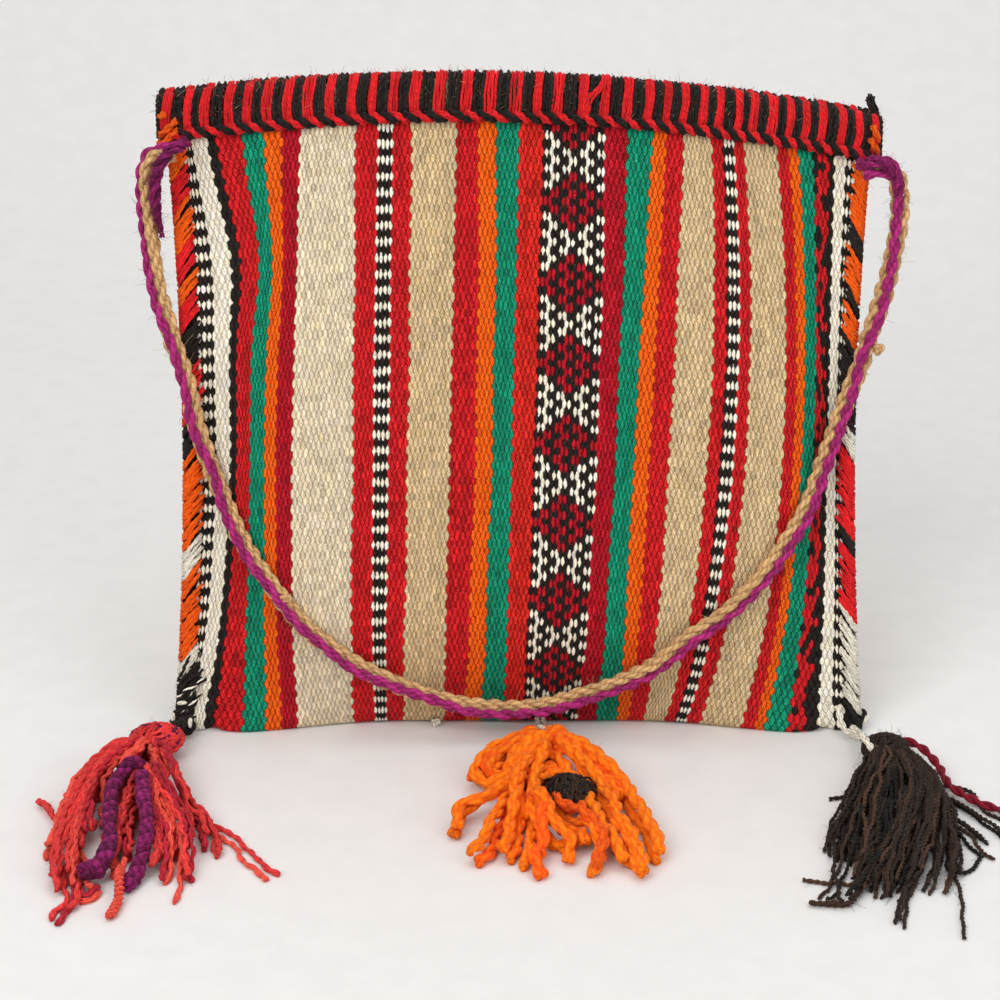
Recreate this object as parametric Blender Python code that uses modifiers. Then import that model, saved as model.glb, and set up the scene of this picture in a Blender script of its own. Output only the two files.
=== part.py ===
# Hand-woven bag with a rope strap and three floor tassels, in metres, +Z up, front towards -Y.
# The bag stands on its rounded base and leans back a little. The origin is on the base.
import math

import bmesh
import bpy
import numpy as np
from mathutils import Vector

# Driving sizes of the bag
bag_half_width = 0.1585  # to the outer edge of the side stitching, at the floor and the rim
waist_half_width = 0.1515  # the same, half way up
waist_height = 0.150
corner_height = 0.2793  # mean height of the rim's two ends
rim_crown = 0.0148  # the rim is this much higher in the middle
rim_droop = 0.0043  # the right end hangs this much under the mean, the left stands over it
lean = math.radians(12.0)  # of the side seams, backwards
seam_foot = -0.027  # the side seams' Y at the floor
clearance = 0.0003  # between two pieces that touch

# The woven cloth
cloth_thickness = 0.0024
seam_zone = 0.010  # where the two layers lie flat on each other
seam_gap = 0.0008  # from the seam's middle plane to a layer
mouth_spread = 0.0032  # the layers part by this much more at the rim's ends
mouth_spread_depth = 0.045
front_reach = 0.034  # the front belly, ahead of the origin
front_belly = 0.055  # its height
front_curl = 0.022  # how far the cloth curls in under it
back_reach = 0.046
back_belly = 0.045
back_curl = 0.018
mouth_half_depth = 0.0105
back_drop = 0.005  # the rear rim stands lower
fold_y = 0.008  # where the front and rear halves of the cloth meet on the base
fold_spread = 0.0008  # how far each half draws back from there beside the seams
settle = 0.0006  # the weight presses the base flat by this much
seam_lift = 0.0015  # the side seams end this high
flat_share = 0.35
wall_share, curl_share = 0.56, 0.86
wall_row_shares = (0, 0.07, 0.135, 0.20, 0.34, 0.48, 0.62, 0.76, 0.88, 1.0)
curl_rows, base_rows = 6, 2
column_shares = (0.18, 0.35, 0.50, 0.62, 0.74, 0.84, 0.92, 1.0)
face_power, pillow_power, seam_power = 1.2, 2.6, 1.5

# The whip-stitched rims and the twisted cords under them
rim_wall = 0.0019
rim_depth = 0.0145
rim_round = 0.0022
rim_inset = 0.0030  # from the bag's edge to the end of the stitching
rim_play = 0.0006  # between the stitching and the cloth
rib_pitch = 0.0073  # one red and one black wrap
rib_height = 0.0009
twist_radius = 0.0023
twist_inset = 0.0135
end_wrap_width = 0.0024
end_wrap_gap = 0.0006
end_wrap_depth = 0.0150
end_wrap_height = 0.0145
end_wrap_round = 0.0009
tuft_radius = 0.0012
tuft_height = 0.0090

# The side stitching
lacing_wall = 0.0019
lacing_reach = 0.0098  # how far it comes in over the cloth
lacing_rise = 0.0070  # the wraps climb this much on their way in
lacing_round = 0.0012
lacing_foot = 0.0004
lacing_row = 0.010
lacing_head_gap = 0.0016  # from its top to the rim
lacing_gap = 0.0016  # between two runs
lacing_play = 0.0006  # between the stitching and the cloth
left_lacing_shares = (
    ("orange", 0.054), ("red", 0.107), ("orange", 0.173), ("red", 0.223), ("orange", 0.263),
    ("red", 0.309), ("black", 0.380), ("red", 0.463), ("black", 0.523), ("orange", 0.679),
    ("white", 0.732), ("orange", 0.875), ("white", 0.905), ("black", 1.0),
)
right_lacing_shares = (
    ("orange", 0.124), ("black", 0.157), ("orange", 0.234), ("black", 0.256), ("orange", 0.316),
    ("black", 0.460), ("white", 0.507), ("red", 0.650), ("black", 0.680), ("red", 0.803),
    ("white", 0.973), ("black", 1.0),
)

# The strap and what ties it to the corners
strap_radius = 0.0035
lashing_half_length = 0.0050
lashing_half_height = 0.0046
lashing_half_depth = 0.0060
lashing_x = 0.1446  # the middle of a lashing, from the bag's middle plane
left_lashing_z = 0.2612
right_lashing_z = 0.2530
strap_points = 76

# The strap's route, hand placed along the cord as it hangs from the left corner to the right one
strap_route = (
    (-0.1499, 0.0135, 0.2612), (-0.1552, 0.0135, 0.2611), (-0.1602, 0.0134, 0.2592),
    (-0.1630, 0.0130, 0.2530), (-0.1636, 0.0122, 0.2440), (-0.1632, 0.0112, 0.2330),
    (-0.1622, 0.0096, 0.2230), (-0.1598, 0.0056, 0.2030), (-0.1546, 0.0014, 0.1814),
    (-0.1480, -0.0034, 0.1600), (-0.1444, -0.0070, 0.1423), (-0.1374, -0.0113, 0.1220),
    (-0.1299, -0.0175, 0.1027), (-0.1196, -0.0254, 0.0842), (-0.1004, -0.0348, 0.0604),
    (-0.0871, -0.0373, 0.0476), (-0.0658, -0.0384, 0.0332), (-0.0366, -0.0386, 0.0205),
    (-0.0130, -0.0386, 0.0160), (0.0001, -0.0386, 0.0159), (0.0209, -0.0386, 0.0200),
    (0.0551, -0.0386, 0.0342), (0.0750, -0.0382, 0.0501), (0.0953, -0.0348, 0.0653),
    (0.1159, -0.0261, 0.0864), (0.1303, -0.0164, 0.1080), (0.1373, -0.0103, 0.1277),
    (0.1439, -0.0062, 0.1468), (0.1488, -0.0032, 0.1608), (0.1550, 0.0008, 0.1792),
    (0.1594, 0.0040, 0.1931), (0.1638, 0.0076, 0.2109), (0.1659, 0.0098, 0.2269),
    (0.1661, 0.0112, 0.2400), (0.1646, 0.0118, 0.2488), (0.1606, 0.0119, 0.2538),
    (0.1556, 0.0118, 0.2540), (0.1499, 0.0118, 0.2530),
)

# Tassels: a thread loop, a bound head and a skirt of yarn that lies on the floor
loop_radius = 0.0010
left_loop_route = ((-0.1568, -0.0324, 0.0060), (-0.1575, -0.0380, 0.0074), (-0.1580, -0.0446, 0.0090))
middle_loop_route = ((0.0100, -0.0230, 0.0045), (0.0114, -0.0330, 0.0048), (0.0126, -0.0420, 0.0062))
right_loop_route = ((0.1568, -0.0325, 0.0060), (0.1590, -0.0380, 0.0073), (0.1608, -0.0446, 0.0087))
left_head_radii = (0.0095, 0.0092, 0.0088)
middle_head_radii = (0.0080, 0.0080, 0.0060)
right_head_radii = (0.0085, 0.0092, 0.0085)
left_neck_tuck, middle_neck_tuck, right_neck_tuck = 0.0056, 0.0046, 0.0085  # skirt under head
left_skirt_length, left_skirt_half_width, left_skirt_height = 0.130, 0.055, 0.020
middle_skirt_length, middle_skirt_half_width, middle_skirt_height = 0.103, 0.046, 0.016
right_skirt_length, right_skirt_half_width, right_skirt_height = 0.140, 0.049, 0.015

# The skirts' outlines on the floor, in shares of the half width and of the length from the neck
left_skirt_shares = (
    (0.00, 0.00), (-0.33, 0.06), (-0.62, 0.15), (-0.85, 0.28), (-0.96, 0.46), (-0.93, 0.68),
    (-0.75, 0.88), (-0.47, 1.00), (-0.07, 0.98), (0.33, 0.92), (0.71, 0.85), (1.02, 0.72),
    (0.91, 0.52), (0.64, 0.29), (0.33, 0.09),
)
middle_skirt_shares = (
    (0.00, 0.00), (-0.30, 0.08), (-0.61, 0.23), (-0.85, 0.43), (-0.93, 0.63), (-0.67, 0.80),
    (-0.33, 0.94), (0.07, 0.99), (0.46, 0.95), (0.85, 0.87), (1.04, 0.72), (0.89, 0.49),
    (0.63, 0.28), (0.30, 0.09),
)
right_skirt_shares = (
    (0.00, 0.00), (-0.29, 0.09), (-0.55, 0.24), (-0.80, 0.44), (-0.98, 0.64), (-1.04, 0.84),
    (-0.76, 0.94), (-0.37, 1.00), (-0.02, 0.99), (0.33, 0.99), (0.71, 0.85), (0.92, 0.64),
    (0.94, 0.42), (0.73, 0.23), (0.35, 0.07),
)

# Small pieces on the tassels and under the bag
purple_cord_radius = 0.0022
purple_cord_route = (
    (-0.1570, -0.0760), (-0.1530, -0.0930), (-0.1560, -0.1120), (-0.1640, -0.1300),
    (-0.1680, -0.1480), (-0.1640, -0.1640),
)
crimson_strand_radius = 0.0013
crimson_strand_route = (
    (0.1672, -0.0560, 0.0016), (0.1830, -0.0660, 0.0016), (0.1960, -0.0760, 0.0016),
    (0.2080, -0.0890, 0.0016), (0.2190, -0.1050, 0.0016),
)
brown_tuft_shares = (0.09, 0.35)
brown_tuft_radii = (0.0075, 0.0105, 0.0035)
bottom_knot_x = -0.0380
bottom_knot_y = -0.0232
bottom_knot_radius = 0.0023
sphere_segments, sphere_rings = 16, 10
skirt_segments, skirt_rings = 30, 12
twist_steps = 40
cord_steps = 4  # points of a small cord for each point of its route


def seam_y(z):
    return seam_foot + z * math.tan(lean)


def half_width(z):
    share = z / waist_height - 1
    return waist_half_width + (bag_half_width - waist_half_width) * share * share


def rim_top(u, side):
    drop = back_drop * (1 - u * u) if side > 0 else 0
    return corner_height + rim_crown * (1 - u * u) - rim_droop * u - drop


def cloth_top(u, side):
    return rim_top(u, side) - rim_wall - rib_height / 2 - rim_play


def layer_gap(u, z):
    """From the seam's middle plane to a layer. It widens below the rim, to let the stitching in."""
    low = rim_top(math.copysign(1, u), -1) - rim_depth - mouth_spread_depth
    share = min(max((z - low) / mouth_spread_depth, 0), 1)
    return seam_gap + mouth_spread * share * share * (3 - 2 * share)


def cloth_half_width(z):
    return half_width(z) - lacing_wall - lacing_play


def seam_share():
    return 1 - seam_zone / waist_half_width


def fullness(u):
    """0 at the seams and 1 across the middle."""
    share = (abs(u) - flat_share) / (seam_share() - flat_share)
    return 1 - min(max(share, 0), 1) ** pillow_power


def wall_y(u, z, side):
    """The outer face of the front wall (side -1) or the rear one (side 1), above its belly."""
    reach, belly = (front_reach, front_belly) if side < 0 else (back_reach, back_belly)
    top = rim_top(u, side)
    mouth_y = seam_y(top) + side * mouth_half_depth
    share = max((z - belly) / (top - belly), 0) ** face_power
    full = side * reach + (mouth_y - side * reach) * share
    flat = seam_y(z) + side * (layer_gap(u, z) + cloth_thickness)
    return flat + fullness(u) * (full - flat)


def face_y(u, z, side):
    """wall_y as the cloth has it, with straight faces between its columns."""
    columns = column_list()
    return float(np.interp(u, columns, [wall_y(column, z, side) for column in columns]))


def cloth_point(u, share, side):
    """share runs down the cloth: 0 at the rim, wall_share at the belly, 1 at the fold."""
    reach, belly, curl = (
        (front_reach, front_belly, front_curl) if side < 0 else (back_reach, back_belly, back_curl)
    )
    if share <= wall_share:
        z = cloth_top(u, side) + (belly - cloth_top(u, side)) * share / wall_share
        return Vector((u * cloth_half_width(z), wall_y(u, z, side), z))
    low = (share - wall_share) / (1 - wall_share)
    seam_z = seam_lift + (belly - seam_lift) * (1 - low) ** seam_power
    if share <= curl_share:
        angle = math.pi / 2 * (share - wall_share) / (curl_share - wall_share)
        full_y = side * (reach - curl * (1 - math.cos(angle)))
        full_z = belly * (1 - math.sin(angle))
    else:
        flat = (share - curl_share) / (1 - curl_share)
        start = side * (reach - curl)
        full_y = start + (fold_y + side * clearance / 2 - start) * flat
        full_z = 0
    flat_y = seam_y(seam_z) + side * (layer_gap(u, seam_z) + cloth_thickness)
    full = fullness(u)
    y = flat_y + full * (full_y - flat_y) + side * fold_spread * low * 4 * full * (1 - full)
    z = seam_z + full * (full_z - seam_z)
    return Vector((u * cloth_half_width(seam_z), y, max(z - settle, 0)))


def clear_scene():
    for item in list(bpy.data.objects):
        bpy.data.objects.remove(item)


def bag_collection():
    collection = bpy.data.collections.new("tassel_bag")
    bpy.context.scene.collection.children.link(collection)
    return collection


def material(name, colour, roughness=0.9):
    found = bpy.data.materials.get(name)
    if found:
        return found
    made = bpy.data.materials.new(name)
    made.use_nodes = True
    shader = made.node_tree.nodes["Principled BSDF"]
    shader.inputs["Base Color"].default_value = (*colour, 1)
    shader.inputs["Roughness"].default_value = roughness
    shader.inputs["Metallic"].default_value = 0
    return made


def red_wool():
    return material("red_wool", (0.55, 0.03, 0.03))


def black_wool():
    return material("black_wool", (0.03, 0.02, 0.016))


def orange_wool():
    return material("orange_wool", (0.95, 0.16, 0.01))


def white_cotton():
    return material("white_cotton", (0.80, 0.76, 0.66))


def woven_cloth():
    return material("woven_cloth", (0.46, 0.20, 0.11))


def strap_wool():
    return material("strap_wool", (0.40, 0.14, 0.20))


def coral_wool():
    return material("coral_wool", (0.72, 0.08, 0.06))


def purple_wool():
    return material("purple_wool", (0.17, 0.02, 0.09))


def bright_orange_wool():
    return material("bright_orange_wool", (1.0, 0.26, 0.01))


def dark_brown_wool():
    return material("dark_brown_wool", (0.05, 0.03, 0.02))


def crimson_wool():
    return material("crimson_wool", (0.30, 0.02, 0.05))


lacing_colours = {
    "orange": orange_wool,
    "red": red_wool,
    "black": black_wool,
    "white": white_cotton,
}


def finish(item, look, smooth=True):
    item.data.materials.clear()
    item.data.materials.append(look)
    if smooth and item.type == "MESH":
        item.data.shade_smooth()
    return item


def new_object(name, data, collection):
    item = bpy.data.objects.new(name, data)
    collection.objects.link(item)
    return item


def sheet(name, collection, us, vs, place):
    """A grid whose vertex (i, j) is moved to place(us[i], vs[j])."""
    grid = bmesh.new()
    columns, rows = len(us) - 1, len(vs) - 1
    bmesh.ops.create_grid(grid, x_segments=columns, y_segments=rows, size=1)
    for vertex in grid.verts:
        i = round((vertex.co.x + 1) / 2 * columns)
        j = round((vertex.co.y + 1) / 2 * rows)
        vertex.co = place(us[i], vs[j])
    mesh = bpy.data.meshes.new(name)
    grid.to_mesh(mesh)
    grid.free()
    return new_object(name, mesh, collection)


def thicken(item, thickness, inwards):
    """Adds the wall. inwards is 1 where the sheet's normals point into the wall."""
    solid = item.modifiers.new("wall", "SOLIDIFY")
    solid.thickness = thickness
    solid.offset = inwards
    solid.use_even_offset = True
    return item


def smooth_path(points, count):
    """Catmull-Rom curve through the points, read at even steps of its length."""
    knots = [Vector(p) for p in points]
    knots = [2 * knots[0] - knots[1], *knots, 2 * knots[-1] - knots[-2]]
    fine = []
    steps = 24
    for a, b, c, d in zip(knots, knots[1:], knots[2:], knots[3:]):
        for step in range(steps):
            t = step / steps
            fine.append(
                0.5 * (2 * b + (c - a) * t + (2 * a - 5 * b + 4 * c - d) * t**2
                       + (3 * b - a - 3 * c + d) * t**3)
            )
    fine.append(knots[-2])
    lengths = np.cumsum([0] + [(q - p).length for p, q in zip(fine, fine[1:])])
    wanted = np.linspace(0, lengths[-1], count)
    axes = [np.interp(wanted, lengths, [p[axis] for p in fine]) for axis in range(3)]
    return [Vector(p) for p in zip(*axes)]


def tube(name, collection, points, radius):
    """A round cord along the points, with closed ends."""
    curve = bpy.data.curves.new(name, "CURVE")
    curve.dimensions = "3D"
    curve.bevel_depth = radius
    curve.bevel_resolution = 2
    curve.use_fill_caps = True
    spline = curve.splines.new("POLY")
    spline.points.add(len(points) - 1)
    for place, point in zip(spline.points, points):
        place.co = (*point, 1)
    return new_object(name, curve, collection)


def ball(name, collection, place, segments=sphere_segments, rings=sphere_rings):
    """A closed form: place maps each point of the unit sphere."""
    form = bmesh.new()
    bmesh.ops.create_uvsphere(form, u_segments=segments, v_segments=rings, radius=1)
    for vertex in form.verts:
        vertex.co = place(vertex.co)
    mesh = bpy.data.meshes.new(name)
    form.to_mesh(mesh)
    form.free()
    return new_object(name, mesh, collection)


def ellipsoid(name, collection, middle, radii):
    def place(point):
        return Vector(middle) + Vector([a * b for a, b in zip(point, radii)])

    return ball(name, collection, place)


def joint_empty(name, collection, place, children):
    empty = new_object(name, None, collection)
    empty.location = place
    bpy.context.view_layer.update()
    for child in children:
        child.parent = empty
        child.matrix_parent_inverse = empty.matrix_world.inverted()
    return empty


def column_list():
    inner = [share * seam_share() for share in column_shares]
    right = [*inner, 1.0]
    return [-u for u in reversed(right)] + [0.0] + right


def row_list():
    wall = [share * wall_share for share in wall_row_shares]
    curl = np.linspace(wall_share, curl_share, curl_rows + 1)[1:]
    base = np.linspace(curl_share, 1, base_rows + 1)[1:]
    return [*wall, *curl, *base]


def make_cloth(name, collection, side):
    """Half of the woven strip: a wall, its belly and its half of the base."""
    item = sheet(name, collection, column_list(), row_list(),
                 lambda u, share: cloth_point(u, share, side))
    return finish(thicken(item, cloth_thickness, -side), woven_cloth())


def rim_outline():
    """Round the cloth's top edge, as (side of the cloth, drop from the top)."""
    return (
        (-1, rim_depth), (-1, rim_round), (-0.72, 0), (0.72, 0), (1, rim_round), (1, rim_depth),
    )


def make_rim(name, collection, side):
    """The stitching over one edge of the mouth, with a rib for each pair of wraps."""
    half = bag_half_width - rim_inset
    count = 2 * round(half / rib_pitch)
    outline = rim_outline()

    def place(corner, row):
        across, drop = outline[corner]
        x = half * (row / count - 1)
        u = x / cloth_half_width(rim_top(x / bag_half_width, side) - drop)
        rib = rib_height / 2 * (1 if row % 2 else -1)
        z = rim_top(u, side) - drop
        middle = face_y(u, z, side) - side * cloth_thickness / 2
        out = cloth_thickness / 2 + rim_play + rim_wall + rib_height / 2 + rib
        return Vector((x, middle + across * out, z + (rib if drop < rim_round else 0)))

    item = sheet(name, collection, list(range(len(outline))), list(range(2 * count + 1)), place)
    return finish(thicken(item, rim_wall, 1), red_wool())


def make_rim_twist(name, collection, side):
    """The cord that lies on the cloth right under the stitching."""
    half = bag_half_width - twist_inset
    points = []
    for step in range(twist_steps + 1):
        x = half * (2 * step / twist_steps - 1)
        z = rim_top(x / bag_half_width, side) - rim_depth - rib_height - clearance - twist_radius
        u = x / cloth_half_width(z)
        stand = (twist_radius + clearance) / math.cos(lean)
        points.append(Vector((x, face_y(u, z, side) + side * stand, z)))
    return finish(tube(name, collection, points, twist_radius), black_wool())


def lacing_half_depth(side, z):
    return layer_gap(side, z) + cloth_thickness + lacing_play + lacing_wall


def lacing_outline():
    """Round the seam's edge, as (distance in from the edge, share of the stitching's half depth)."""
    return (
        (lacing_reach, -1), (lacing_reach / 2, -1), (lacing_round, -1), (0, -0.72),
        (0, 0.72), (lacing_round, 1), (lacing_reach / 2, 1), (lacing_reach, 1),
    )


def make_lacing(collection, side, word, shares):
    """The side stitching, one piece for each run of one colour."""
    end = rim_top(side, -1) - rim_depth - rib_height - lacing_head_gap - lacing_rise
    low = lacing_foot
    outline = lacing_outline()
    runs, start = [], 0.0
    for number, (colour, share) in enumerate(shares, start=1):
        top = end + (low - end) * start - (lacing_gap if start else 0)
        bottom = end + (low - end) * share
        rows = max(round((top - bottom) / lacing_row), 1)

        def place(corner, level):
            inward, across = outline[corner]
            z = level + lacing_rise * inward / lacing_reach
            x = side * (half_width(level) - inward)
            return Vector((x, seam_y(z) + across * lacing_half_depth(side, z), z))

        levels = [bottom + (top - bottom) * row / rows for row in range(rows + 1)]
        name = f"{word}_lacing_{number:02d}_{colour}"
        item = sheet(name, collection, list(range(len(outline))), levels, place)
        runs.append(finish(thicken(item, lacing_wall, -side), lacing_colours[colour]()))
        start = share
    return runs


def make_end_wrap(name, collection, side):
    """The wraps that bind the front and rear rims together at a corner."""
    u = side
    middle_z = rim_top(u, -1) - end_wrap_height / 2
    bpy.ops.mesh.primitive_cube_add(size=1)
    item = bpy.context.object
    item.name = name
    for owner in item.users_collection:
        owner.objects.unlink(item)
    collection.objects.link(item)
    for vertex in item.data.vertices:
        vertex.co.x *= end_wrap_width
        vertex.co.y *= end_wrap_depth
        vertex.co.z *= end_wrap_height
    x = bag_half_width - rim_inset + end_wrap_gap + end_wrap_width / 2
    item.location = (side * x, seam_y(middle_z), middle_z)
    item.rotation_euler = (-lean, 0, 0)
    bevel = item.modifiers.new("round", "BEVEL")
    bevel.width = end_wrap_round
    bevel.segments = 2
    return finish(item, orange_wool())


def lashing_place(side):
    z = left_lashing_z if side < 0 else right_lashing_z
    stand_off = lacing_half_depth(side, z) + (clearance + lashing_half_depth) / math.cos(lean)
    return Vector((side * lashing_x, seam_y(z) - stand_off, z))


def make_lashing(name, collection, side):
    middle = lashing_place(side)
    radii = (lashing_half_length, lashing_half_depth, lashing_half_height)
    return finish(ellipsoid(name, collection, middle, radii), purple_wool())


def make_strap(collection):
    points = smooth_path(strap_route, strap_points)
    return finish(tube("strap_cord", collection, points, strap_radius), strap_wool())


def make_corner_tuft(collection):
    """The cut yarn ends that stand on the right corner."""
    x = bag_half_width - rim_inset + end_wrap_gap + end_wrap_width / 2
    z = rim_top(1, -1) + clearance + tuft_height / 2
    radii = (tuft_radius, tuft_radius, tuft_height / 2)
    return finish(ellipsoid("corner_tuft", collection, (x, seam_y(z), z), radii), black_wool())


def make_bottom_knot(collection):
    place = (bottom_knot_x, bottom_knot_y, bottom_knot_radius)
    radii = (bottom_knot_radius, bottom_knot_radius, bottom_knot_radius)
    return finish(ellipsoid("bottom_knot", collection, place, radii), white_cotton())


def outline_middle(outline):
    return (sum(x for x, y in outline) / len(outline), sum(y for x, y in outline) / len(outline))


def outline_radius(outline, angle):
    """How far the outline lies from its middle in this direction."""
    mx, my = outline_middle(outline)
    polar = sorted((math.atan2(y - my, x - mx), math.hypot(x - mx, y - my)) for x, y in outline)
    angles, radii = zip(*polar)
    return float(np.interp(angle, angles, radii, period=2 * math.pi))


def skirt_top(outline, height, x, y):
    """The skirt's height over the floor at a place."""
    mx, my = outline_middle(outline)
    share = math.hypot(x - mx, y - my) / outline_radius(outline, math.atan2(y - my, x - mx))
    return height * math.sqrt(max(1 - share * share, 0))


def make_skirt(name, collection, outline, height, look):
    """A low heap with a flat underside, as wide as its outline."""
    mx, my = outline_middle(outline)
    neck_x, neck_y = outline[0]
    turn = math.atan2(neck_y - my, neck_x - mx)

    def place(point):
        angle = math.atan2(point.y, point.x) + turn
        reach = math.hypot(point.x, point.y) * outline_radius(outline, angle)
        z = height * max(point.z, 0)
        return Vector((mx + reach * math.cos(angle), my + reach * math.sin(angle), z))

    return finish(ball(name, collection, place, skirt_segments, skirt_rings), look)


def head_place(loop, radii):
    """The head starts where its loop ends."""
    x, y, z = loop[-1]
    return (x, y - radii[1] - clearance, z)


def skirt_outline(shares, loop, radii, tuck, length, half):
    """The outline on the floor, from the neck under the head."""
    x, y, z = head_place(loop, radii)
    neck = y - radii[1] + tuck
    return [(x + across * half, neck - along * length) for across, along in shares]


def left_outline():
    return skirt_outline(
        left_skirt_shares, left_loop_route, left_head_radii, left_neck_tuck,
        left_skirt_length, left_skirt_half_width,
    )


def middle_outline():
    return skirt_outline(
        middle_skirt_shares, middle_loop_route, middle_head_radii, middle_neck_tuck,
        middle_skirt_length, middle_skirt_half_width,
    )


def right_outline():
    return skirt_outline(
        right_skirt_shares, right_loop_route, right_head_radii, right_neck_tuck,
        right_skirt_length, right_skirt_half_width,
    )


def make_tassel(collection, word, loop, radii, outline, height, look):
    head = head_place(loop, radii)
    return [
        finish(tube(f"{word}_tassel_loop", collection, loop, loop_radius), white_cotton()),
        finish(ellipsoid(f"{word}_tassel_head", collection, head, radii), look),
        make_skirt(f"{word}_tassel_skirt", collection, outline, height, look),
    ]


def make_purple_cord(collection):
    """The thick plied cord that lies on the left skirt."""
    lift = purple_cord_radius + 2 * clearance
    outline = left_outline()
    points = [
        (x, y, skirt_top(outline, left_skirt_height, x, y) + lift) for x, y in purple_cord_route
    ]
    points = smooth_path(points, cord_steps * len(points))
    return finish(tube("left_tassel_purple_cord", collection, points, purple_cord_radius), purple_wool())


def make_brown_tuft(collection):
    """Darker yarn ends that lie on the middle skirt."""
    outline = middle_outline()
    neck_x, neck_y = outline[0]
    across, along = brown_tuft_shares

    def place(point):
        x = neck_x + across * middle_skirt_half_width + brown_tuft_radii[0] * point.x
        y = neck_y - along * middle_skirt_length + brown_tuft_radii[1] * point.y
        low = skirt_top(outline, middle_skirt_height, x, y) + 2 * clearance
        return Vector((x, y, low + brown_tuft_radii[2] * max(point.z, 0)))

    return finish(ball("middle_tassel_brown_tuft", collection, place), dark_brown_wool())


def make_crimson_strand(collection):
    points = smooth_path(crimson_strand_route, cord_steps * len(crimson_strand_route))
    item = tube("right_tassel_crimson_strand", collection, points, crimson_strand_radius)
    return finish(item, crimson_wool())


def make_tassels(collection):
    left = make_tassel(
        collection, "left", left_loop_route, left_head_radii, left_outline(),
        left_skirt_height, coral_wool(),
    )
    middle = make_tassel(
        collection, "middle", middle_loop_route, middle_head_radii, middle_outline(),
        middle_skirt_height, bright_orange_wool(),
    )
    right = make_tassel(
        collection, "right", right_loop_route, right_head_radii, right_outline(),
        right_skirt_height, dark_brown_wool(),
    )
    left.append(make_purple_cord(collection))
    middle.append(make_brown_tuft(collection))
    right.append(make_crimson_strand(collection))
    joint_empty("left_tassel_pivot", collection, left_loop_route[0], left)
    joint_empty("middle_tassel_pivot", collection, middle_loop_route[0], middle)
    joint_empty("right_tassel_pivot", collection, right_loop_route[0], right)


def build():
    clear_scene()
    collection = bag_collection()
    make_cloth("front_cloth", collection, -1)
    make_cloth("back_cloth", collection, 1)
    make_rim("front_rim_stitching", collection, -1)
    make_rim("back_rim_stitching", collection, 1)
    make_rim_twist("front_rim_twist", collection, -1)
    make_rim_twist("back_rim_twist", collection, 1)
    make_end_wrap("left_corner_wrap", collection, -1)
    make_end_wrap("right_corner_wrap", collection, 1)
    make_corner_tuft(collection)
    make_lacing(collection, -1, "left", left_lacing_shares)
    make_lacing(collection, 1, "right", right_lacing_shares)
    make_bottom_knot(collection)
    make_lashing("left_strap_lashing", collection, -1)
    make_lashing("right_strap_lashing", collection, 1)
    strap = make_strap(collection)
    joint_empty("strap_pivot", collection, lashing_place(-1), [strap])
    make_tassels(collection)


build()
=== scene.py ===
import math

import bpy
import numpy as np
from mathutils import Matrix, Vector


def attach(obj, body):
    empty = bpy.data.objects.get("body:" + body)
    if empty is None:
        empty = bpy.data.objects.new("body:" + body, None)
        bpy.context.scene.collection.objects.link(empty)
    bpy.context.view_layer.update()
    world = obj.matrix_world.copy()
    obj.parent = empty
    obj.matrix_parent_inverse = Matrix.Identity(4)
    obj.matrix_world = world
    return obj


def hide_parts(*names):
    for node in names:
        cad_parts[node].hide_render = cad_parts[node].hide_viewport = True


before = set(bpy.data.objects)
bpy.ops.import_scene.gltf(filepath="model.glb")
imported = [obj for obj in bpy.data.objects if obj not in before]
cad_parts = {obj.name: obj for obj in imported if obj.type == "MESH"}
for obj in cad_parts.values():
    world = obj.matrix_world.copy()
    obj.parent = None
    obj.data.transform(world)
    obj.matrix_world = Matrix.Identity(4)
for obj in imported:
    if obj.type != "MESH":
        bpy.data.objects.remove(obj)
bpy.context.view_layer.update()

print("stage: the frame is loaded")

pi = math.pi

# The bag's form, in metres, with the same sizes as its solids
bag = {
    "halfWidth": 0.1585, "waistHalfWidth": 0.1515, "waistHeight": 0.150,
    "cornerHeight": 0.2793, "rimCrown": 0.0148, "rimDroop": 0.0043,
    "lean": math.radians(12), "seamFoot": -0.027,
    "clothThickness": 0.0024, "seamZone": 0.010, "seamGap": 0.0008,
    "mouthSpread": 0.0032, "mouthSpreadDepth": 0.045, "mouthHalfDepth": 0.0105,
    "frontReach": 0.034, "frontBelly": 0.055, "frontCurl": 0.022,
    "backReach": 0.046, "backBelly": 0.045, "backCurl": 0.018, "backDrop": 0.005,
    "foldY": 0.008, "foldSpread": 0.0008, "settle": 0.0006, "seamLift": 0.0015,
    "flatShare": 0.35, "wallShare": 0.56, "curlShare": 0.86,
    "facePower": 1.2, "pillowPower": 2.6, "seamPower": 1.5,
    "rimWall": 0.0019, "rimDepth": 0.0145, "rimPlay": 0.0006, "ribHeight": 0.0009,
    "twistRadius": 0.0023, "clearance": 0.0003,
    "lacingWall": 0.0019, "lacingRise": 0.0070, "lacingFoot": 0.0004,
    "lacingPlay": 0.0006, "lacingHeadGap": 0.0016,
}


def smoothStep(t):  # 3t^2 - 2t^3 between 0 and 1
    t = np.clip(t, 0, 1)
    return t * t * (3 - 2 * t)


def unit(v):  # each vector divided by its length
    return v / np.maximum(np.linalg.norm(v, axis=-1, keepdims=True), 1e-12)


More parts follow.
